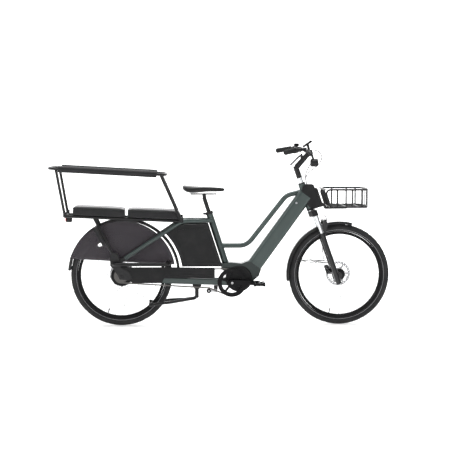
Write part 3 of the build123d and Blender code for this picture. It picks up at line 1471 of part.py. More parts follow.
with BuildPart() as saddle:
    with BuildSketch(view(SADDLE_CLAMP)) as saddle_side:
        Polygon(
            (-143, 62),
            (-138, 76),
            (-120, 81),
            (0, 73),
            (120, 66),
            (135, 56),
            (133, 38),
            (120, 33),
            (0, 28),
            (-70, 24),
            (-100, 18),
            (-128, 38),
            align=None,
        )
        fillet(saddle_side.vertices(), 4)
    extrude(saddle_side.sketch, amount=90, both=True)
    with BuildSketch(Plane(origin=SADDLE_CLAMP)) as saddle_plan:
        with BuildLine():
            Spline(
                (-141, 0),
                (-132, 62),
                (-92, 84),
                (-50, 72),
                (0, 42),
                (60, 24),
                (122, 19),
                (135, 0),
                tangents=((0, 1), (0, -1)),
            )
            mirror(about=Plane.XZ)
        make_face()
    extrude(saddle_plan.sketch, amount=100, mode=Mode.INTERSECT)
    add(seatpost.part, mode=Mode.SUBTRACT)

# ---------------------------------------------------------------- export
PIECES = {
    "rear_tyre": rear_tyre,
    "front_tyre": front_tyre,
    "rear_rim": rear_rim,
    "front_rim": front_rim,
    "rear_hub": rear_hub,
    "front_hub": front_hub,
    "rear_spokes": rear_spokes,
    "front_spokes": front_spokes,
    "rear_rotor": rear_rotor,
    "front_rotor": front_rotor,
    "motor_unit": motor_unit,
    "down_tube": down_tube,
    "battery": battery,
    "battery_lock": battery_lock,
    "seat_tube": seat_tube,
    "top_tube": top_tube,
    "seat_stays": seat_stays,
    "chain_stays": chain_stays,
    "foot_rails": foot_rails,
    "rear_caliper": rear_caliper,
    "stand_legs": stand_legs,
    "chain": chain,
    "rear_sprocket": rear_sprocket,
    "crankset": crankset,
    "pedal_right": pedal_right,
    "pedal_left": pedal_left,
    "frame_fittings": frame_fittings,
    "tensioner_arm": tensioner_arm,
    "tensioner_roller": tensioner_roller,
    "chain_case": chain_case,
    "rear_mudguard": rear_mudguard,
    "wheel_skirts": wheel_skirts,
    "side_panels": side_panels,
    "seat_pads": seat_pads,
    "rack_frame": rack_frame,
    "passenger_rail": passenger_rail,
    "rail_pads": rail_pads,
    "rear_light": rear_light,
    "rear_lens": rear_lens,
    "head_cover": head_cover,
    "basket_frame": basket_frame,
    "fork_upper": fork_upper,
    "fork_lowers": fork_lowers,
    "front_caliper": front_caliper,
    "front_mudguard": front_mudguard,
    "stem": stem,
    "stem_lever": stem_lever,
    "handlebar": handlebar,
    "grips": grips,
    "shifter": shifter,
    "brake_masters": brake_masters,
    "brake_lever_right": brake_lever_right,
    "brake_lever_left": brake_lever_left,
    "display": display,
    "headlight": headlight,
    "control_hoses": control_hoses,
    "front_brake_hose": front_brake_hose,
    "seatpost": seatpost,
    "saddle": saddle,
}
for label, piece in PIECES.items():
    piece.part.label = label
    export_step(piece.part, f"parts/{label}.step")
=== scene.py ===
"""Finishes, soft parts and stage for the longtail cargo bicycle, in metres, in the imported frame."""

import json
import math

import bmesh
import bpy
from mathutils import Matrix, Vector


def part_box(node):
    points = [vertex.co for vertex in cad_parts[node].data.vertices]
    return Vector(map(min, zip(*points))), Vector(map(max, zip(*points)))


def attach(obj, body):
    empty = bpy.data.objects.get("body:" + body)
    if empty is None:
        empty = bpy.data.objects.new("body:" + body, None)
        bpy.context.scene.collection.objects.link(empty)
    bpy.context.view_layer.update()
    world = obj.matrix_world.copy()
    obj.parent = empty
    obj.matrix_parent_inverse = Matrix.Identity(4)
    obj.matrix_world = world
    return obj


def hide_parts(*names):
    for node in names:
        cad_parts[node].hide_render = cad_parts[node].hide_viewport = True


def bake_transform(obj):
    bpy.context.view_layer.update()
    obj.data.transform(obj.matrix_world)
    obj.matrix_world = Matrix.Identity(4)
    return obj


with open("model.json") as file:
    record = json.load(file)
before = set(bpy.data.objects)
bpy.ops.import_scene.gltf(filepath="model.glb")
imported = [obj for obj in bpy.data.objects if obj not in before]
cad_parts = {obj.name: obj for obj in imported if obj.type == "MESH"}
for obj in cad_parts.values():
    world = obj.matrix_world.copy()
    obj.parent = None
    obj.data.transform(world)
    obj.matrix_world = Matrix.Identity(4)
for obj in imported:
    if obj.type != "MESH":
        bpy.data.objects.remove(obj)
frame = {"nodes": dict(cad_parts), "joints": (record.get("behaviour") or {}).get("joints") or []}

bl_info = {
    "name": "Longtail cargo bicycle",
    "version": (1, 0, 0),
    "blender": (4, 5, 0),
    "location": "3D View > Sidebar > Bicycle",
    "description": "Finishes and soft parts of a longtail cargo bicycle",
    "category": "Object",
}

# ---------------------------------------------------------------- places from the frame
JOINTS = {joint["name"]: joint for joint in frame["joints"]}
REAR_AXLE = Vector(JOINTS["rear_wheel_spin"]["pos_m"])
FRONT_AXLE = Vector(JOINTS["front_wheel_spin"]["pos_m"])
CRANK_AXIS = Vector(JOINTS["crank_spin"]["pos_m"])
STEER_POINT = Vector(JOINTS["steer"]["pos_m"])
STEER_UP = Vector(JOINTS["steer"]["axis"])
STEER_FORWARD = Vector((STEER_UP.z, 0, -STEER_UP.x))
SHIFTER_WAY = Vector(JOINTS["shifter_twist"]["axis"])
MM = 0.001

# ---------------------------------------------------------------- camera
CAMERA_PLACE = (-0.3155, -8.2015, 1.3045)
CAMERA_TILT = 4.565  # degrees below level
CAMERA_PAN = 2.461  # degrees towards the front wheel
CAMERA_LENS = 100.35
SENSOR_WIDTH = 36.0


def head(forward, y, up):
    """A point along and ahead of the steering axis, given in millimetres."""
    return STEER_POINT + STEER_FORWARD * forward * MM + Vector((0, y * MM, 0)) + STEER_UP * up * MM


CLAMP = head(112, 0, 818)


def cockpit(x, y, z):
    """A point measured in millimetres from the middle of the handlebar clamp."""
    return CLAMP + Vector((x, y, z)) * MM


def node_box(name):
    """The lowest and highest corners of a CAD node as vectors."""
    low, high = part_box(name)
    return Vector(low), Vector(high)


# ---------------------------------------------------------------- settings
class BicycleFinish(bpy.types.PropertyGroup):
    """Colours of the main finishes."""

    frame_colour: bpy.props.FloatVectorProperty(
        name="Frame paint",
        description="Base colour of the frame tubes",
        subtype="COLOR",
        size=3,
        min=0,
        max=1,
        default=(0.058, 0.076, 0.072),
    )
    black_colour: bpy.props.FloatVectorProperty(
        name="Black parts",
        description="Base colour of the black metal and plastic",
        subtype="COLOR",
        size=3,
        min=0,
        max=1,
        default=(0.0075, 0.0075, 0.008),
    )
    skirt_colour: bpy.props.FloatVectorProperty(
        name="Wheel skirts",
        description="Tint of the smoked sheet",
        subtype="COLOR",
        size=3,
        min=0,
        max=1,
        default=(0.05, 0.043, 0.05),
    )


class BicycleSizes(bpy.types.PropertyGroup):
    """Sizes of the soft and fine parts."""

    tread_height: bpy.props.FloatProperty(
        name="Tread height",
        description="How far the tread blocks stand out of the tyre",
        default=0.0016,
        min=0.0002,
        max=0.004,
        unit="LENGTH",
    )
    tread_steps: bpy.props.IntProperty(
        name="Tread pitches",
        description="Number of tread pitches round a tyre",
        default=150,
        min=30,
        max=240,
    )
    pad_crown: bpy.props.FloatProperty(
        name="Pad crown",
        description="How far the middle of a seat pad stands above its edge",
        default=0.004,
        min=0,
        max=0.02,
        unit="LENGTH",
    )
    pad_gap: bpy.props.FloatProperty(
        name="Pad gap",
        description="Gap between the two seat pads",
        default=0.017,
        min=0.002,
        max=0.05,
        unit="LENGTH",
    )
    rib_pitch: bpy.props.FloatProperty(
        name="Grip rib pitch",
        description="Distance between the ribs of a grip",
        default=0.005,
        min=0.002,
        max=0.01,
        unit="LENGTH",
    )


# ---------------------------------------------------------------- shader groups
def new_group(name, inputs, outputs):
    """An empty shader group with named float sockets, and its input and output nodes."""
    group = bpy.data.node_groups.new(name, "ShaderNodeTree")
    for label, kind, default in inputs:
        socket = group.interface.new_socket(name=label, in_out="INPUT", socket_type=kind)
        if default is not None:
            socket.default_value = default
    for label in outputs:
        group.interface.new_socket(name=label, in_out="OUTPUT", socket_type="NodeSocketFloat")
    return group, group.nodes.new("NodeGroupInput"), group.nodes.new("NodeGroupOutput")


def grain_group():
    """Fine and broad noise over the surface."""
    if "Surface grain" in bpy.data.node_groups:
        return bpy.data.node_groups["Surface grain"]
    group, source, sink = new_group(
        "Surface grain",
        [
            ("Vector", "NodeSocketVector", None),
            ("Fine scale", "NodeSocketFloat", 600.0),
            ("Broad scale", "NodeSocketFloat", 9.0),
        ],
        ["Fine", "Broad"],
    )
    for label, detail in (("Fine", 3.0), ("Broad", 6.0)):
        noise = group.nodes.new("ShaderNodeTexNoise")
        noise.inputs["Detail"].default_value = detail
        group.links.new(source.outputs["Vector"], noise.inputs["Vector"])
        group.links.new(source.outputs[f"{label} scale"], noise.inputs["Scale"])
        group.links.new(noise.outputs["Fac"], sink.inputs[label])
    return group


def weave_group():
    """A plain weave: two crossed sets of threads, raised in turn."""
    if "Plain weave" in bpy.data.node_groups:
        return bpy.data.node_groups["Plain weave"]
    group, source, sink = new_group(
        "Plain weave",
        [("Vector", "NodeSocketVector", None), ("Thread scale", "NodeSocketFloat", 420.0)],
        ["Height"],
    )
    heights = []
    for axis in ("X", "Y"):
        wave = group.nodes.new("ShaderNodeTexWave")
        wave.wave_type = "BANDS"
        wave.bands_direction = axis
        wave.inputs["Distortion"].default_value = 0.6
        group.links.new(source.outputs["Vector"], wave.inputs["Vector"])
        group.links.new(source.outputs["Thread scale"], wave.inputs["Scale"])
        heights.append(wave)
    top = group.nodes.new("ShaderNodeMath")
    top.operation = "MAXIMUM"
    group.links.new(heights[0].outputs["Fac"], top.inputs[0])
    group.links.new(heights[1].outputs["Fac"], top.inputs[1])
    group.links.new(top.outputs["Value"], sink.inputs["Height"])
    return group


def dust_group():
    """A mask of thin dust in noisy patches."""
    if "Road dust" in bpy.data.node_groups:
        return bpy.data.node_groups["Road dust"]
    group, source, sink = new_group(
        "Road dust",
        [
            ("Vector", "NodeSocketVector", None),
            ("Scale", "NodeSocketFloat", 14.0),
            ("Amount", "NodeSocketFloat", 0.12),
        ],
        ["Mask"],
    )
    noise = group.nodes.new("ShaderNodeTexNoise")
    noise.inputs["Detail"].default_value = 8.0
    group.links.new(source.outputs["Vector"], noise.inputs["Vector"])
    group.links.new(source.outputs["Scale"], noise.inputs["Scale"])
    spread = group.nodes.new("ShaderNodeMapRange")
    spread.inputs["From Min"].default_value = 0.45
    spread.inputs["From Max"].default_value = 0.8
    group.links.new(noise.outputs["Fac"], spread.inputs["Value"])
    amount = group.nodes.new("ShaderNodeMath")
    amount.operation = "MULTIPLY"
    group.links.new(spread.outputs["Result"], amount.inputs[0])
    group.links.new(source.outputs["Amount"], amount.inputs[1])
    group.links.new(amount.outputs["Value"], sink.inputs["Mask"])
    return group


# ---------------------------------------------------------------- materials
def tinted(colour, factor):
    """A colour made lighter or darker, with full alpha."""
    return tuple(min(1.0, channel * factor) for channel in colour[:3]) + (1.0,)


class Finish:
    """A material under construction: its nodes, its links and its Principled shader."""

    def __init__(self, name):
        self.material = bpy.data.materials.new(name)
        self.material.use_nodes = True
        self.nodes = self.material.node_tree.nodes
        self.links = self.material.node_tree.links
        self.shader = self.nodes["Principled BSDF"]
        self.coordinates = self.nodes.new("ShaderNodeTexCoord")

    def group(self, tree, **values):
        """Place a shader group that reads the object's coordinates."""
        node = self.nodes.new("ShaderNodeGroup")
        node.node_tree = tree
        self.links.new(self.coordinates.outputs["Object"], node.inputs["Vector"])
        for label, value in values.items():
            node.inputs[label.replace("_", " ")].default_value = value
        return node

    def mix(self, mask, first, second):
        """Mix two colours, or a colour and a socket, by a mask socket."""
        node = self.nodes.new("ShaderNodeMix")
        node.data_type = "RGBA"
        self.links.new(mask, node.inputs["Factor"])
        for label, value in (("A", first), ("B", second)):
            socket = [item for item in node.inputs if item.name == label and item.type == "RGBA"][0]
            if isinstance(value, bpy.types.NodeSocket):
                self.links.new(value, socket)
            else:
                socket.default_value = value
        return [item for item in node.outputs if item.type == "RGBA"][0]

    def blend_values(self, mask, first, second):
        """Run a mask from one value to another."""
        node = self.nodes.new("ShaderNodeMapRange")
        self.links.new(mask, node.inputs["Value"])
        node.inputs["To Min"].default_value = first
        node.inputs["To Max"].default_value = second
        return node.outputs["Result"]

    def bump(self, height, strength, distance):
        """Raise the surface by a height socket."""
        node = self.nodes.new("ShaderNodeBump")
        node.inputs["Strength"].default_value = strength
        node.inputs["Distance"].default_value = distance
        self.links.new(height, node.inputs["Height"])
        self.links.new(node.outputs["Normal"], self.shader.inputs["Normal"])

    def along(self, direction, start, end):
        """A mask that is 1 between two distances along a direction, from the origin."""
        dot = self.nodes.new("ShaderNodeVectorMath")
        dot.operation = "DOT_PRODUCT"
        self.links.new(self.coordinates.outputs["Object"], dot.inputs[0])
        dot.inputs[1].default_value = direction
        masks = []
        for operation, limit in (("GREATER_THAN", start), ("LESS_THAN", end)):
            node = self.nodes.new("ShaderNodeMath")
            node.operation = operation
            self.links.new(dot.outputs["Value"], node.inputs[0])
            node.inputs[1].default_value = limit
            masks.append(node.outputs["Value"])
        both = self.nodes.new("ShaderNodeMath")
        both.operation = "MULTIPLY"
        self.links.new(masks[0], both.inputs[0])
        self.links.new(masks[1], both.inputs[1])
        return both.outputs["Value"]


def surface(
    name,
    colour,
    roughness,
    metallic=0.0,
    coat=0.0,
    specular=0.27,
    fine=600.0,
    broad=9.0,
    spread=0.15,
    bump=0.15,
    depth=0.0001,
    dust=0.02,
    weave=0.0,
):
    """A finish with broad colour variation, fine bump and a little dust."""
    finish = Finish(name)
    shader = finish.shader
    shader.inputs["Metallic"].default_value = metallic
    shader.inputs["Coat Weight"].default_value = coat
    shader.inputs["Coat Roughness"].default_value = 0.12
    shader.inputs["Specular IOR Level"].default_value = specular
    grain = finish.group(grain_group(), Fine_scale=fine, Broad_scale=broad)
    dusting = finish.group(dust_group(), Scale=broad * 1.7, Amount=dust)
    body = finish.mix(grain.outputs["Broad"], tinted(colour, 1 - spread), tinted(colour, 1 + spread))
    dusted = finish.mix(dusting.outputs["Mask"], body, (0.32, 0.3, 0.27, 1.0))
    finish.links.new(dusted, shader.inputs["Base Color"])
    rough = finish.blend_values(grain.outputs["Fine"], max(0.03, roughness - 0.07), min(1, roughness + 0.07))
    finish.links.new(rough, shader.inputs["Roughness"])
    height = grain.outputs["Fine"]
    if weave:
        height = finish.group(weave_group(), Thread_scale=weave).outputs["Height"]
    finish.bump(height, bump, depth)
    finish.body = dusted
    return finish


def assign(finish, *names):
    """Give a finish to CAD nodes or pieces."""
    for name in names:
        piece = frame["nodes"].get(name) or bpy.data.objects[name]
        piece.data.materials.clear()
        piece.data.materials.append(finish.material)


# ---------------------------------------------------------------- mesh helpers
def finished(name, mesh, finish, body, slot_name, *nodes):
    """Turn a bmesh into a piece with its finish, smooth shading and body."""
    bmesh.ops.remove_doubles(mesh, verts=mesh.verts, dist=1e-6)
    bmesh.ops.recalc_face_normals(mesh, faces=mesh.faces)
    data = bpy.data.meshes.new(name)
    mesh.to_mesh(data)
    mesh.free()
    data.shade_smooth()
    piece = bpy.data.objects.new(name, data)
    bpy.context.collection.objects.link(piece)
    piece.data.materials.append(finish.material)
    if body:
        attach(piece, body)
    if nodes:
        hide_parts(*nodes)
    return piece


def sharpen(piece, degrees=35):
    """Keep the edges sharper than an angle crisp."""
    piece.data.set_sharp_from_angle(angle=math.radians(degrees))


def smooth(piece, levels):
    """Add a subdivision surface."""
    modifier = piece.modifiers.new("Smooth", "SUBSURF")
    modifier.levels = levels
    modifier.render_levels = levels


def turned(mesh, profile, start, axis, steps):
    """Spin a profile of (radius, distance) pairs about an axis, closed at both ends."""
    local = bmesh.new()
    points = [local.verts.new((radius, 0, distance)) for radius, distance in profile]
    for first, second in zip(points, points[1:]):
        local.edges.new((first, second))
    bmesh.ops.spin(
        local,
        geom=local.verts[:] + local.edges[:],
        cent=(0, 0, 0),
        axis=(0, 0, 1),
        angle=math.tau,
        steps=steps,
        use_merge=True,
    )
    bmesh.ops.remove_doubles(local, verts=local.verts, dist=1e-6)
    turn = Vector(axis).to_track_quat("Z", "Y").to_matrix().to_4x4()
    bmesh.ops.transform(local, matrix=Matrix.Translation(start) @ turn, verts=local.verts)
    temporary = bpy.data.meshes.new("turned")
    local.to_mesh(temporary)
    local.free()
    mesh.from_mesh(temporary)
    bpy.data.meshes.remove(temporary)


def hose_piece(name, points, radius, finish, slot_name, *nodes):
    """A smooth hose through given points, as a mesh."""
    curve = bpy.data.curves.new(name, "CURVE")
    curve.dimensions = "3D"
    curve.bevel_depth = radius
    curve.bevel_resolution = 4
    curve.resolution_u = 16
    curve.use_fill_caps = True
    spline = curve.splines.new("NURBS")
    spline.points.add(len(points) - 1)
    for control, point in zip(spline.points, points):
        control.co = (*point, 1.0)
    spline.order_u = 3
    spline.use_endpoint_u = True
    guide = bpy.data.objects.new(name + "_guide", curve)
    bpy.context.collection.objects.link(guide)
    data = bpy.data.meshes.new_from_object(guide)
    bpy.data.objects.remove(guide)
    data.name = name
    data.shade_smooth()
    piece = bpy.data.objects.new(name, data)
    bpy.context.collection.objects.link(piece)
    data.materials.clear()
    data.materials.append(finish.material)
    if nodes:
        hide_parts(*nodes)
    return piece


# ---------------------------------------------------------------- operators
class BICYCLE_OT_frame_paint(bpy.types.Operator):
    """Paint the frame tubes and the stays"""

    bl_idname = "bicycle.frame_paint"
    bl_label = "Frame paint"

    def execute(self, context):
        colour = context.scene.bicycle_finish.frame_colour
        paint = surface(
            "slate_paint", colour, 0.36, metallic=0.55, coat=0.35, fine=2600, spread=0.08, dust=0.012
        )
        assign(paint, "top_tube", "down_tube", "seat_stays")
        # The seat tube is painted darker below, at the motor bracket, than above it; the bracket carries the
        # frame paint, so this darkening is painted shade
        bracket = surface(
            "bracket_paint_and_shade", colour, 0.36, metallic=0.55, coat=0.35, fine=2600, spread=0.08, dust=0.012
        )
        low = bracket.along((0, 0, 1), 0.2, CRANK_AXIS.z + 0.132)
        darker = bracket.mix(low, bracket.body, tinted(colour, 0.42))
        bracket.links.new(darker, bracket.shader.inputs["Base Color"])
        assign(bracket, "seat_tube")
        # The chain stays carry the frame paint; behind the painted beam their rear ends are painted
        # near-black as painted shade
        stays = surface(
            "stay_paint_and_shade", colour, 0.36, metallic=0.55, coat=0.35, fine=2600, spread=0.08, dust=0.012
        )
        shaded_tail = stays.along((1, 0, 0), REAR_AXLE.x - 0.2, REAR_AXLE.x + 0.262)
        black = context.scene.bicycle_finish.black_colour
        stays.links.new(stays.mix(shaded_tail, stays.body, tinted(black, 1.2)), stays.shader.inputs["Base Color"])
        assign(stays, "chain_stays")
        return {"FINISHED"}


class BICYCLE_OT_fork(bpy.types.Operator):
    """Finish the fork: polished stanchions, black crown and legs"""

    bl_idname = "bicycle.fork"
    bl_label = "Fork"

    def execute(self, context):
        black = context.scene.bicycle_finish.black_colour
        chrome = surface(
            "polished_tube", (0.72, 0.73, 0.74), 0.16, metallic=1.0, fine=1800, spread=0.05, bump=0.05
        )
        crown_low = STEER_POINT.dot(STEER_UP) + 0.4195
        crown = chrome.along(STEER_UP, crown_low, crown_low + 0.037)
        two_tone = chrome.mix(crown, chrome.body, tinted(black, 1.0))
        chrome.links.new(two_tone, chrome.shader.inputs["Base Color"])
        chrome.links.new(chrome.blend_values(crown, 1.0, 0.0), chrome.shader.inputs["Metallic"])
        chrome.links.new(chrome.blend_values(crown, 0.14, 0.4), chrome.shader.inputs["Roughness"])
        assign(chrome, "fork_upper")
        legs = surface("fork_black", black, 0.3, coat=0.4, fine=900, dust=0.012)
        assign(legs, "fork_lowers")
        return {"FINISHED"}


class BICYCLE_OT_metal(bpy.types.Operator):
    """Finish the black metal, the alloy and the steel parts"""

    bl_idname = "bicycle.metal"
    bl_label = "Metal parts"

    def execute(self, context):
        black = context.scene.bicycle_finish.black_colour
        satin = surface("satin_black", black, 0.42, coat=0.15, fine=1200, dust=0.02)
        assign(
            satin,
            "frame_fittings",
            "basket_frame",
            "rack_frame",
            "passenger_rail",
            "foot_rails",
            "stem",
            "handlebar",
            "stem_lever",
            "seatpost",
            "stand_legs",
            "headlight",
        )
        motor = surface("motor_casting", black, 0.5, metallic=0.1, fine=420, bump=0.3, depth=0.0002)
        assign(motor, "motor_unit")
        alloy = surface("black_alloy", tinted(black, 1.4), 0.34, metallic=0.75, fine=1500, dust=0.024)
        assign(alloy, "rear_rim", "front_rim", "rear_hub", "front_hub")
        assign(alloy, "crankset", "pedal_right", "pedal_left", "front_caliper", "rear_caliper")
        assign(alloy, "brake_masters", "brake_lever_right", "brake_lever_left")
        steel = surface("ground_steel", (0.42, 0.42, 0.43), 0.3, metallic=1.0, fine=2400, spread=0.12)
        assign(steel, "front_rotor", "rear_rotor", "battery_lock", "tensioner_arm")
        spoke = surface("spoke_wire", (0.22, 0.22, 0.225), 0.35, metallic=1.0, fine=2400, spread=0.1)
        assign(spoke, "rear_spokes", "front_spokes")
        chain = surface(
            "oiled_steel", (0.12, 0.115, 0.11), 0.38, metallic=1.0, fine=900, spread=0.3, dust=0.04
        )
        assign(chain, "chain", "rear_sprocket")
        return {"FINISHED"}


class BICYCLE_OT_plastic(bpy.types.Operator):
    """Finish the mudguards, panels, covers and lights"""

    bl_idname = "bicycle.plastic"
    bl_label = "Plastic parts"

    def execute(self, context):
        black = context.scene.bicycle_finish.black_colour
        panel = surface(
            "moulded_panel", tinted(black, 1.25), 0.52, fine=750, bump=0.35, depth=0.00015, dust=0.024
        )
        assign(panel, "side_panels", "chain_case", "head_cover", "rear_light", "tensioner_roller", "battery")
        guard = surface("guard_plastic", black, 0.36, coat=0.2, fine=900, dust=0.032)
        assign(guard, "rear_mudguard", "front_mudguard")
        lens = surface("red_lens", (0.42, 0.012, 0.01), 0.14, coat=0.6, fine=300, spread=0.2)
        assign(lens, "rear_lens")
        casing = surface("display_casing", black, 0.45, fine=1100)
        assign(casing, "display")
        return {"FINISHED"}


class BICYCLE_OT_skirts(bpy.types.Operator):
    """Make the wheel skirts from a smoked, slightly see-through sheet"""

    bl_idname = "bicycle.skirts"
    bl_label = "Wheel skirts"

    def execute(self, context):
        colour = context.scene.bicycle_finish.skirt_colour
        sheet = surface("smoked_sheet", colour, 0.5, fine=1400, spread=0.06, dust=0.012, bump=0.2)
        sheet.shader.inputs["Alpha"].default_value = 0.82
        assign(sheet, "wheel_skirts")
        return {"FINISHED"}


class BICYCLE_OT_tyres(bpy.types.Operator):
    """Model both tyres with their tread blocks and light sidewall lines, a painted highlight"""

    bl_idname = "bicycle.tyres"
    bl_label = "Tyres"

    def execute(self, context):
        sizes = context.scene.bicycle_sizes
        rubber = surface(
            "tyre_rubber", (0.017, 0.017, 0.018), 0.68, fine=1000, bump=0.4, depth=0.0002, dust=0.048
        )
        # The light grey line on each sidewall is a painted highlight where the rim's edge catches the light
        line = surface("painted_highlight_line", (0.34, 0.34, 0.35), 0.4, fine=2000, spread=0.1)
        for name, centre, body in (("rear", REAR_AXLE, "rear_wheel"), ("front", FRONT_AXLE, "front_wheel")):
            tyre = self.carcass(centre, sizes)
            piece = finished(f"{name}_tyre_treaded", tyre, rubber, body, "tyre_rubber", f"{name}_tyre")
            sharpen(piece, 30)
            highlight_ring = self.highlight_ring(centre)
            finished(f"{name}_tyre_highlight_ring", highlight_ring, line, body, "tyre_rubber")
        return {"FINISHED"}

    def radii(self):
        """Ring radius and section radius of a tyre."""
        low, high = node_box("front_tyre")
        section = (high.y - low.y) / 2
        return (high.z - low.z) / 2 - section, section

    def carcass(self, centre, sizes):
        """A tyre section spun into a ring, with raised tread blocks on its crown."""
        ring, section = self.radii()
        wall = section - sizes.tread_height
        mesh = bmesh.new()
        angles = [math.radians(-150 + 300 * number / 24) for number in range(25)]
        points = []
        for angle in angles:
            outwards = ring + wall * math.cos(angle)
            points.append(mesh.verts.new(centre + Vector((0, wall * math.sin(angle), outwards))))
        points.append(mesh.verts.new(centre + Vector((0, wall * 0.36, ring - wall * 0.6))))
        points.append(mesh.verts.new(centre + Vector((0, -wall * 0.36, ring - wall * 0.6))))
        for first, second in zip(points, points[1:] + points[:1]):
            mesh.edges.new((first, second))
        bmesh.ops.spin(
            mesh,
            geom=mesh.verts[:] + mesh.edges[:],
            cent=centre,
            axis=(0, 1, 0),
            angle=math.tau,
            steps=sizes.tread_steps,
            use_merge=True,
        )
        bmesh.ops.recalc_face_normals(mesh, faces=mesh.faces)
        blocks = [face for face in mesh.faces if self.is_block(face, centre, ring, sizes.tread_steps)]
        bmesh.ops.inset_individual(mesh, faces=blocks, thickness=0.0009, depth=sizes.tread_height)
        return mesh

    def is_block(self, face, centre, ring, steps):
        """Whether a face of the spun section belongs to a tread block."""
        place = face.calc_center_median() - centre
        outwards = math.hypot(place.x, place.z)
        angle = math.degrees(math.atan2(place.y, outwards - ring))
        if abs(angle) > 56:
            return False
        row = int((angle + 62.5) // 12.5)
        pitch = int((math.atan2(place.x, place.z) + math.pi) / math.tau * steps)
        if row in (4, 5):
            return pitch % 3 != 0
        shift = pitch + abs(2 * row - 9) // 2
        return shift % 4 in (0, 1, 2) if abs(angle) < 44 else shift % 4 in (0, 1)

    def highlight_ring(self, centre):
        """Two thin rings, one on each sidewall, in light grey as a painted highlight of the rim's edge."""
        ring, section = self.radii()
        mesh = bmesh.new()
        for side in (-1, 1):
            local = bmesh.new()
            points = []
            for angle, lift in ((116, 0.0), (116, 0.0006), (121, 0.0006), (121, 0.0)):
                reach = section - 0.0018 + lift
                way = math.radians(angle)
                place = Vector((0, side * reach * math.sin(way), ring + reach * math.cos(way)))
                points.append(local.verts.new(centre + place))
            for first, second in zip(points, points[1:] + points[:1]):
                local.edges.new((first, second))
            bmesh.ops.spin(
                local,
                geom=local.verts[:] + local.edges[:],
                cent=centre,
                axis=(0, 1, 0),
                angle=math.tau,
                steps=160,
                use_merge=True,
            )
            data = bpy.data.meshes.new("highlight_ring")
            local.to_mesh(data)
            local.free()
            mesh.from_mesh(data)
            bpy.data.meshes.remove(data)
        return mesh


class BICYCLE_OT_seat_pads(bpy.types.Operator):
    """Model the two upholstered pads on the rack, with their piping"""

    bl_idname = "bicycle.seat_pads"
    bl_label = "Seat pads"

    def execute(self, context):
        sizes = context.scene.bicycle_sizes
        cover = surface(
            "coated_cloth", (0.010, 0.010, 0.011), 0.36, fine=700, bump=0.3, depth=0.0003, weave=900
        )
        cover.shader.inputs["Sheen Weight"].default_value = 0.15
        piping = surface("pad_piping", (0.012, 0.012, 0.012), 0.5, fine=1500)
        low, high = node_box("seat_pads")
        middle = (low.x + high.x) / 2
        spans = ((low.x, middle - sizes.pad_gap / 2), (middle + sizes.pad_gap / 2, high.x))
        for label, (start, end) in zip(("rear", "front"), spans):
            mesh = self.cushion(start, end, low, high, sizes.pad_crown)
            pad = finished(f"{label}_seat_pad", mesh, cover, "frame", "pad_cover", "seat_pads")
            smooth(pad, 1)
            trim = self.piping(label, start, end, low, high, piping)
        return {"FINISHED"}

    def slope_at(self, x, low, high):
        """How far the pads' underside has dropped at a station."""
        fall = (high.z - low.z) - 0.0598
        return -fall * (x - low.x) / (high.x - low.x)

    def cushion(self, start, end, low, high, crown):
        """A crowned, closed cushion that sits flat on its base."""
        mesh = bmesh.new()
        bmesh.ops.create_cube(mesh, size=2.0)
        bmesh.ops.subdivide_edges(mesh, edges=mesh.edges[:], cuts=15, use_grid_fill=True)
        half = Vector(((end - start) / 2, (high.y - low.y) / 2, 0.0298))
        base = high.z - 0.0298
        centre = Vector(((start + end) / 2, 0, base))
        for vert in mesh.verts:
            u, v, w = vert.co
            # Round each edge by drawing the corners in, more at the top than at the base
            corner = 0.017 if w > 0 else 0.006
            reach = Vector((half.x - corner, half.y - corner, half.z - corner))
            point = Vector((u * half.x, v * half.y, w * half.z))
            inner = Vector((max(-r, min(r, p)) for r, p in zip(reach, point)))
            away = point - inner
            if away.length > corner:
                point = inner + away.normalized() * corner
            # Sides pull in between the corners, and the top is crowned
            point.x -= math.copysign(0.0025, u) * (1 - v * v) * abs(u) ** 8
            point.y -= math.copysign(0.0035, v) * (1 - u * u) * abs(v) ** 8
            if w > 0:
                point.z += (crown * (1 - u**4) * (1 - v**4) - crown) * w
            vert.co = centre + point
            vert.co.z += self.slope_at(vert.co.x, low, high)
        return mesh

    def piping(self, label, start, end, low, high, finish):
        """A cord sewn round the pad a little below its top edge."""
        curve = bpy.data.curves.new(f"{label}_pad_piping", "CURVE")
        curve.dimensions = "3D"
        curve.bevel_depth = 0.0017
        curve.bevel_resolution = 2
        curve.resolution_u = 6
        spline = curve.splines.new("NURBS")
        inset = 0.0012
        corner = 0.012
        x0, x1 = start + inset, end - inset
        half = (high.y - low.y) / 2 - inset
        points = []
        for x, y, step_x, step_y in (
            (x0, -half, 1, 1),
            (x1, -half, -1, 1),
            (x1, half, -1, -1),
            (x0, half, 1, -1),
        ):
            along_x = (x + step_x * corner, y)
            along_y = (x, y + step_y * corner)
            order = (along_y, (x, y), along_x) if step_x * step_y > 0 else (along_x, (x, y), along_y)
            points.extend(order)
        spline.points.add(len(points) - 1)
        for control, (x, y) in zip(spline.points, points):
            height = high.z - 0.017 + self.slope_at(x, low, high)
            control.co = (x, y, height, 1.0)
        spline.order_u = 3
        spline.use_cyclic_u = True
        guide = bpy.data.objects.new("piping_guide", curve)
        bpy.context.collection.objects.link(guide)
        data = bpy.data.meshes.new_from_object(guide)
        bpy.data.objects.remove(guide)
        data.shade_smooth()
        piece = bpy.data.objects.new(f"{label}_pad_piping", data)
        bpy.context.collection.objects.link(piece)
        data.materials.clear()
        data.materials.append(finish.material)
        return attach(piece, "frame")


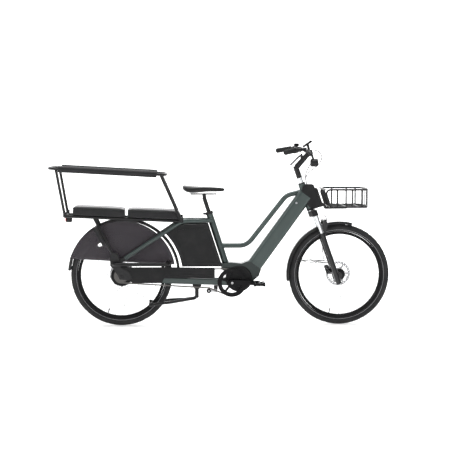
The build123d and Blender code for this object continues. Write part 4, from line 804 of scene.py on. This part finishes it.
class BICYCLE_OT_rail_sleeves(bpy.types.Operator):
    """Model the padded sleeves on the passenger rail"""

    bl_idname = "bicycle.rail_sleeves"
    bl_label = "Rail sleeves"

    def execute(self, context):
        foam = surface(
            "sleeve_foam", (0.011, 0.011, 0.012), 0.5, fine=800, bump=0.5, depth=0.0003, dust=0.024
        )
        low, high = node_box("rail_pads")
        radius = 0.021
        length = (high.x - low.x) / 1.0015
        fall = (high.z - low.z) - 2 * radius
        axis = Vector((high.x - low.x, 0, -fall)).normalized()
        profile = [(0, 0), (radius - 0.004, 0), (radius - 0.001, 0.001), (radius, 0.004)]
        profile += [(radius, 0.012), (radius - 0.0012, 0.0145), (radius, 0.017)]
        waves = 18
        for number in range(waves + 1):
            swell = 0.0003 * math.sin(number * 2.4)
            profile.append((radius - 0.0003 + swell, 0.02 + (length - 0.04) * number / waves))
        profile += [(radius, length - 0.017), (radius - 0.0012, length - 0.0145), (radius, length - 0.012)]
        profile += [
            (radius, length - 0.004), (radius - 0.001, length - 0.001), (radius - 0.004, length), (0, length)
        ]
        for side, label in ((-1, "right"), (1, "left")):
            start = Vector((low.x + 0.0012, side * (high.y - radius), high.z - radius))
            mesh = bmesh.new()
            turned(mesh, profile, start, axis, 40)
            sleeve = finished(f"{label}_rail_sleeve", mesh, foam, "frame", "pad_cover", "rail_pads")
            sharpen(sleeve, 50)
        return {"FINISHED"}


class BICYCLE_OT_saddle(bpy.types.Operator):
    """Model the saddle cover and its shell"""

    bl_idname = "bicycle.saddle"
    bl_label = "Saddle"

    def execute(self, context):
        hide = surface(
            "saddle_cover", (0.010, 0.0098, 0.0098), 0.33, fine=520, bump=0.35, depth=0.0003, dust=0.012
        )
        low, high = node_box("saddle")
        length = high.x - low.x
        # Station along the saddle, half width, top, and side depth, each as the cover shows them
        stations = (
            (0.0, 0.034, 0.058, 0.020),
            (0.03, 0.06, 0.0625, 0.036),
            (0.10, 0.078, 0.0615, 0.046),
            (0.20, 0.084, 0.059, 0.050),
            (0.32, 0.075, 0.056, 0.045),
            (0.45, 0.053, 0.054, 0.038),
            (0.58, 0.036, 0.052, 0.034),
            (0.72, 0.026, 0.050, 0.031),
            (0.86, 0.0225, 0.0475, 0.029),
            (0.96, 0.019, 0.044, 0.024),
            (1.0, 0.011, 0.037, 0.010),
        )
        base = low.z
        mesh = bmesh.new()
        loops = []
        for share, half, top, depth in stations:
            x = low.x + share * length
            ring = []
            for number in range(20):
                angle = math.tau * number / 20
                across = math.copysign(abs(math.cos(angle)) ** 0.75, math.cos(angle))
                up = math.copysign(abs(math.sin(angle)) ** 0.8, math.sin(angle))
                z = base + top - depth / 2 + up * depth / 2
                if up > 0:
                    z -= 0.004 * math.exp(-((across / 0.3) ** 2)) * math.sin(math.pi * share)
                ring.append(mesh.verts.new((x, across * half, z)))
            edges = [mesh.edges.new((a, b)) for a, b in zip(ring, ring[1:] + ring[:1])]
            loops.append(edges)
        for first, second in zip(loops, loops[1:]):
            bmesh.ops.bridge_loops(mesh, edges=first + second)
        bmesh.ops.holes_fill(mesh, edges=loops[0] + loops[-1], sides=0)
        cover = finished("saddle_shell", mesh, hide, "seat", "saddle_cover", "saddle")
        smooth(cover, 2)
        return {"FINISHED"}


class BICYCLE_OT_grips(bpy.types.Operator):
    """Model the ribbed grips and the twist shifter's sleeve"""

    bl_idname = "bicycle.grips"
    bl_label = "Grips"

    def execute(self, context):
        rubber = surface("grip_rubber", (0.016, 0.016, 0.016), 0.62, fine=900, bump=0.4, depth=0.0002)
        pitch = context.scene.bicycle_sizes.rib_pitch
        bar_end = {-1: cockpit(-183, -309, 8), 1: cockpit(-183, 309, 8)}
        for side, length, label in ((-1, 0.075, "right"), (1, 0.116, "left")):
            across = SHIFTER_WAY.y if side < 0 else -SHIFTER_WAY.y
            way = Vector((SHIFTER_WAY.x, across, SHIFTER_WAY.z))
            profile = [(0, -0.002), (0.0145, -0.002), (0.0164, 0.0), (0.0166, 0.006)]
            ribs = int((length - 0.014) / pitch)
            for number in range(ribs):
                start = 0.008 + number * pitch
                profile += [(0.0148, start), (0.0148, start + pitch * 0.25)]
                profile += [(0.016, start + pitch * 0.4), (0.016, start + pitch * 0.85)]
            profile += [(0.0163, length - 0.004), (0.0158, length), (0, length)]
            mesh = bmesh.new()
            turned(mesh, profile, bar_end[side], way, 40)
            grip = finished(f"{label}_grip", mesh, rubber, "steering", "grip_rubber", "grips")
            sharpen(grip, 40)
        assign(rubber, "shifter")
        self.sleeve(rubber, SHIFTER_WAY, bar_end[-1])
        return {"FINISHED"}

    def sleeve(self, rubber, way, bar_end):
        """Finger ribs round the twist shifter."""
        mesh = bmesh.new()
        start = bar_end + way * 0.079
        turned(mesh, [(0.0172, 0), (0.0185, 0.002), (0.0185, 0.030), (0.0172, 0.032)], start, way, 56)
        for face in mesh.faces:
            face.smooth = False
        bmesh.ops.solidify(mesh, geom=mesh.faces[:], thickness=0.0005)
        finished("shifter_sleeve", mesh, rubber, "twist_grip", "grip_rubber")


class BICYCLE_OT_hoses(bpy.types.Operator):
    """Lay the brake and control hoses"""

    bl_idname = "bicycle.hoses"
    bl_label = "Hoses"

    def execute(self, context):
        jacket = surface("hose_jacket", (0.012, 0.012, 0.012), 0.4, fine=1600)
        right = [
            cockpit(-48, -170, 20),
            cockpit(0, -120, 22),
            cockpit(48, -60, 16),
            cockpit(82, -30, -12),
            cockpit(76, -32, -55),
            cockpit(40, -36, -95),
            cockpit(-5, -30, -125),
            cockpit(-27, -22, -160),
            cockpit(-16, -12, -203),
        ]
        left = [
            cockpit(-48, 170, 20),
            cockpit(0, 125, 18),
            cockpit(30, 70, 4),
            cockpit(34, 40, -30),
            cockpit(10, 36, -80),
            cockpit(-18, 24, -130),
            cockpit(-22, 16, -170),
            cockpit(-14, 14, -203),
        ]
        brake = [
            head(66, 6, 404),
            head(83, 24, 388),
            head(86, 41, 364),
            head(64, 41, 318),
            head(10, 41, 230),
            head(-14, 44, 160),
            head(-20, 46, 110),
        ]
        for label, points in (("right", right), ("left", left)):
            hose = hose_piece(f"{label}_control_hose", points, 0.0025, jacket, "grip_rubber", "control_hoses")
            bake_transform(hose)
        hose = hose_piece("fork_brake_hose", brake, 0.0025, jacket, "grip_rubber", "front_brake_hose")
        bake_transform(hose)
        return {"FINISHED"}


class BICYCLE_OT_lights(bpy.types.Operator):
    """Add the headlight's lens and the display's glass"""

    bl_idname = "bicycle.lights"
    bl_label = "Lights and display"

    def execute(self, context):
        lens = surface("lamp_lens", (0.75, 0.77, 0.8), 0.08, coat=0.5, fine=200, spread=0.05, bump=0.4)
        low, high = node_box("headlight")
        centre = Vector((high.x, 0, low.z + 0.026))
        mesh = bmesh.new()
        profile = [
            (0, 0.0035), (0.008, 0.0032), (0.015, 0.0022), (0.0195, 0.0006), (0.021, -0.002), (0, -0.002)
        ]
        turned(mesh, profile, centre, (1, 0, 0), 40)
        finished("headlight_lens", mesh, lens, "steering", "screen")
        glass = surface(
            "display_glass", (0.006, 0.006, 0.007), 0.07, coat=0.8, fine=300, dust=0.004, bump=0.02
        )
        mesh = bmesh.new()
        bmesh.ops.create_cube(mesh, size=1.0)
        turn = Vector((-0.57, 0, 0.82)).to_track_quat("Z", "X").to_matrix().to_4x4()
        centre = cockpit(-13, 0, 59) + Vector((-0.57, 0, 0.82)).normalized() * 0.0062
        size = Matrix.Diagonal((0.064, 0.052, 0.0012, 1.0))
        bmesh.ops.transform(mesh, matrix=Matrix.Translation(centre) @ turn @ size, verts=mesh.verts)
        bmesh.ops.bevel(
            mesh,
            geom=mesh.edges[:],
            offset=0.0005,
            offset_type="OFFSET",
            segments=2,
            profile=0.5,
            affect="EDGES",
            material=-1,
        )
        finished("display_window", mesh, glass, "steering", "screen")
        return {"FINISHED"}


class BICYCLE_OT_small_parts(bpy.types.Operator):
    """Add the valves and the crank bolts"""

    bl_idname = "bicycle.small_parts"
    bl_label = "Small parts"

    def execute(self, context):
        bright = surface("zinc_plate", (0.5, 0.5, 0.5), 0.3, metallic=1.0, fine=1500)
        dark = surface("black_screw", (0.02, 0.02, 0.02), 0.35, metallic=0.7, fine=1500)
        stem = [
            (0, 0),
            (0.0029, 0),
            (0.0029, 0.022),
            (0.0038, 0.0225),
            (0.0038, 0.032),
            (0.003, 0.034),
            (0, 0.034),
        ]
        for label, centre, body, angle in (
            ("rear", REAR_AXLE, "rear_wheel", 250),
            ("front", FRONT_AXLE, "front_wheel", 256),
        ):
            way = Vector((-math.cos(math.radians(angle)), 0, -math.sin(math.radians(angle))))
            mesh = bmesh.new()
            turned(mesh, stem, centre - way * 0.2665, way, 14)
            finished(f"{label}_valve", mesh, dark, body, "black_alloy")
        bolt = [
            (0, 0.0008),
            (0.0035, 0.0008),
            (0.0045, 0.003),
            (0.0075, 0.003),
            (0.0085, 0.0015),
            (0.0085, -0.002),
        ]
        bolt += [(0, -0.002)]
        for side, label in ((-1, "right"), (1, "left")):
            mesh = bmesh.new()
            face = CRANK_AXIS + Vector((0, side * 0.088, 0))
            turned(mesh, bolt, face, (0, side, 0), 24)
            finished(f"{label}_crank_bolt", mesh, bright, "crank", "steel")
        return {"FINISHED"}


class BICYCLE_OT_stage(bpy.types.Operator):
    """Set the pale floor, the soft lights and the camera"""

    bl_idname = "bicycle.stage"
    bl_label = "Stage"

    def execute(self, context):
        scene = context.scene
        world = bpy.data.worlds.new("Studio")
        world.use_nodes = True
        world.node_tree.nodes["Background"].inputs["Color"].default_value = (0.93, 0.96, 1, 1)
        world.node_tree.nodes["Background"].inputs["Strength"].default_value = 0.22
        scene.world = world
        floor = self.sheet("floor", 40, 0.34, Matrix.Translation((0, 0, -0.0005)))
        upright = Matrix.Translation((0, 9, 0)) @ Matrix.Rotation(math.radians(90), 4, "X")
        backdrop = self.sheet("backdrop", 40, 1.0, upright)
        for label, place, width, height, power in (
            ("top", (-0.3, -0.6, 4.2), 4.2, 1.8, 118),
            ("key", (-3.4, -3.4, 2.9), 1.8, 1.8, 60),
            ("fill", (3.6, -4.2, 2.0), 1.6, 1.6, 22),
            ("back", (0.5, 3.6, 3.2), 4.0, 1.2, 55),
        ):
            light = bpy.data.lights.new(label, "AREA")
            light.shape = "RECTANGLE"
            light.size = width
            light.size_y = height
            light.energy = power
            lamp = bpy.data.objects.new(label, light)
            lamp.location = place
            lamp.rotation_euler = (Vector((0, 0, 0.5)) - Vector(place)).to_track_quat("-Z", "Y").to_euler()
            scene.collection.objects.link(lamp)
        camera_data = bpy.data.cameras.new("camera")
        camera_data.lens = CAMERA_LENS
        camera_data.sensor_width = SENSOR_WIDTH
        camera_data.clip_end = 200
        camera = bpy.data.objects.new("camera", camera_data)
        camera.location = CAMERA_PLACE
        camera.rotation_euler = (math.radians(90 - CAMERA_TILT), 0, -math.radians(CAMERA_PAN))
        scene.collection.objects.link(camera)
        scene.camera = camera
        scene.view_settings.view_transform = "Standard"
        return {"FINISHED"}

    def sheet(self, name, size, glow, place):
        """A large pale sheet with a faint light of its own."""
        mesh = bmesh.new()
        bmesh.ops.create_grid(mesh, x_segments=1, y_segments=1, size=size)
        bmesh.ops.transform(mesh, matrix=place, verts=mesh.verts)
        data = bpy.data.meshes.new(name)
        mesh.to_mesh(data)
        mesh.free()
        plane = bpy.data.objects.new(name, data)
        bpy.context.scene.collection.objects.link(plane)
        pale = Finish(f"pale_{name}")
        grain = pale.group(grain_group(), Fine_scale=60.0, Broad_scale=1.5)
        tone = pale.mix(grain.outputs["Broad"], (0.84, 0.84, 0.84, 1), (0.87, 0.87, 0.87, 1))
        pale.links.new(tone, pale.shader.inputs["Base Color"])
        pale.shader.inputs["Roughness"].default_value = 0.9
        pale.shader.inputs["Specular IOR Level"].default_value = 0.1
        # The glow grows away from the bicycle, so the floor meets the backdrop without a line
        reach = pale.nodes.new("ShaderNodeVectorMath")
        reach.operation = "LENGTH"
        pale.links.new(pale.coordinates.outputs["Object"], reach.inputs[0])
        spread = pale.nodes.new("ShaderNodeMapRange")
        spread.inputs["From Min"].default_value = 1.3
        spread.inputs["From Max"].default_value = 4.5
        pale.links.new(reach.outputs["Value"], spread.inputs["Value"])
        light = pale.mix(spread.outputs["Result"], (glow, glow, glow, 1), (1, 1, 1, 1))
        pale.links.new(light, pale.shader.inputs["Emission Color"])
        pale.shader.inputs["Emission Strength"].default_value = 1.0
        data.materials.append(pale.material)
        return plane


OPERATORS = (
    BICYCLE_OT_frame_paint,
    BICYCLE_OT_fork,
    BICYCLE_OT_metal,
    BICYCLE_OT_plastic,
    BICYCLE_OT_skirts,
    BICYCLE_OT_tyres,
    BICYCLE_OT_seat_pads,
    BICYCLE_OT_rail_sleeves,
    BICYCLE_OT_saddle,
    BICYCLE_OT_grips,
    BICYCLE_OT_hoses,
    BICYCLE_OT_lights,
    BICYCLE_OT_small_parts,
    BICYCLE_OT_stage,
)


class BICYCLE_PT_panel(bpy.types.Panel):
    """Lists the bicycle's pieces in the sidebar"""

    bl_idname = "BICYCLE_PT_panel"
    bl_label = "Longtail cargo bicycle"
    bl_space_type = "VIEW_3D"
    bl_region_type = "UI"
    bl_category = "Bicycle"

    def draw(self, context):
        layout = self.layout
        for settings in (context.scene.bicycle_finish, context.scene.bicycle_sizes):
            for label in settings.bl_rna.properties.keys():
                if label not in ("rna_type", "name"):
                    layout.prop(settings, label)
        for operator in OPERATORS:
            layout.operator(operator.bl_idname)


CLASSES = (BicycleFinish, BicycleSizes, *OPERATORS, BICYCLE_PT_panel)


def register():
    for item in CLASSES:
        bpy.utils.register_class(item)
    bpy.types.Scene.bicycle_finish = bpy.props.PointerProperty(type=BicycleFinish)
    bpy.types.Scene.bicycle_sizes = bpy.props.PointerProperty(type=BicycleSizes)


def unregister():
    del bpy.types.Scene.bicycle_sizes
    del bpy.types.Scene.bicycle_finish
    for item in reversed(CLASSES):
        bpy.utils.unregister_class(item)


def main():
    """Build every piece in order."""
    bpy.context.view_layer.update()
    register()
    for operator in OPERATORS:
        space, name = operator.bl_idname.split(".")
        getattr(getattr(bpy.ops, space), name)()


if __name__ == "__main__":
    main()
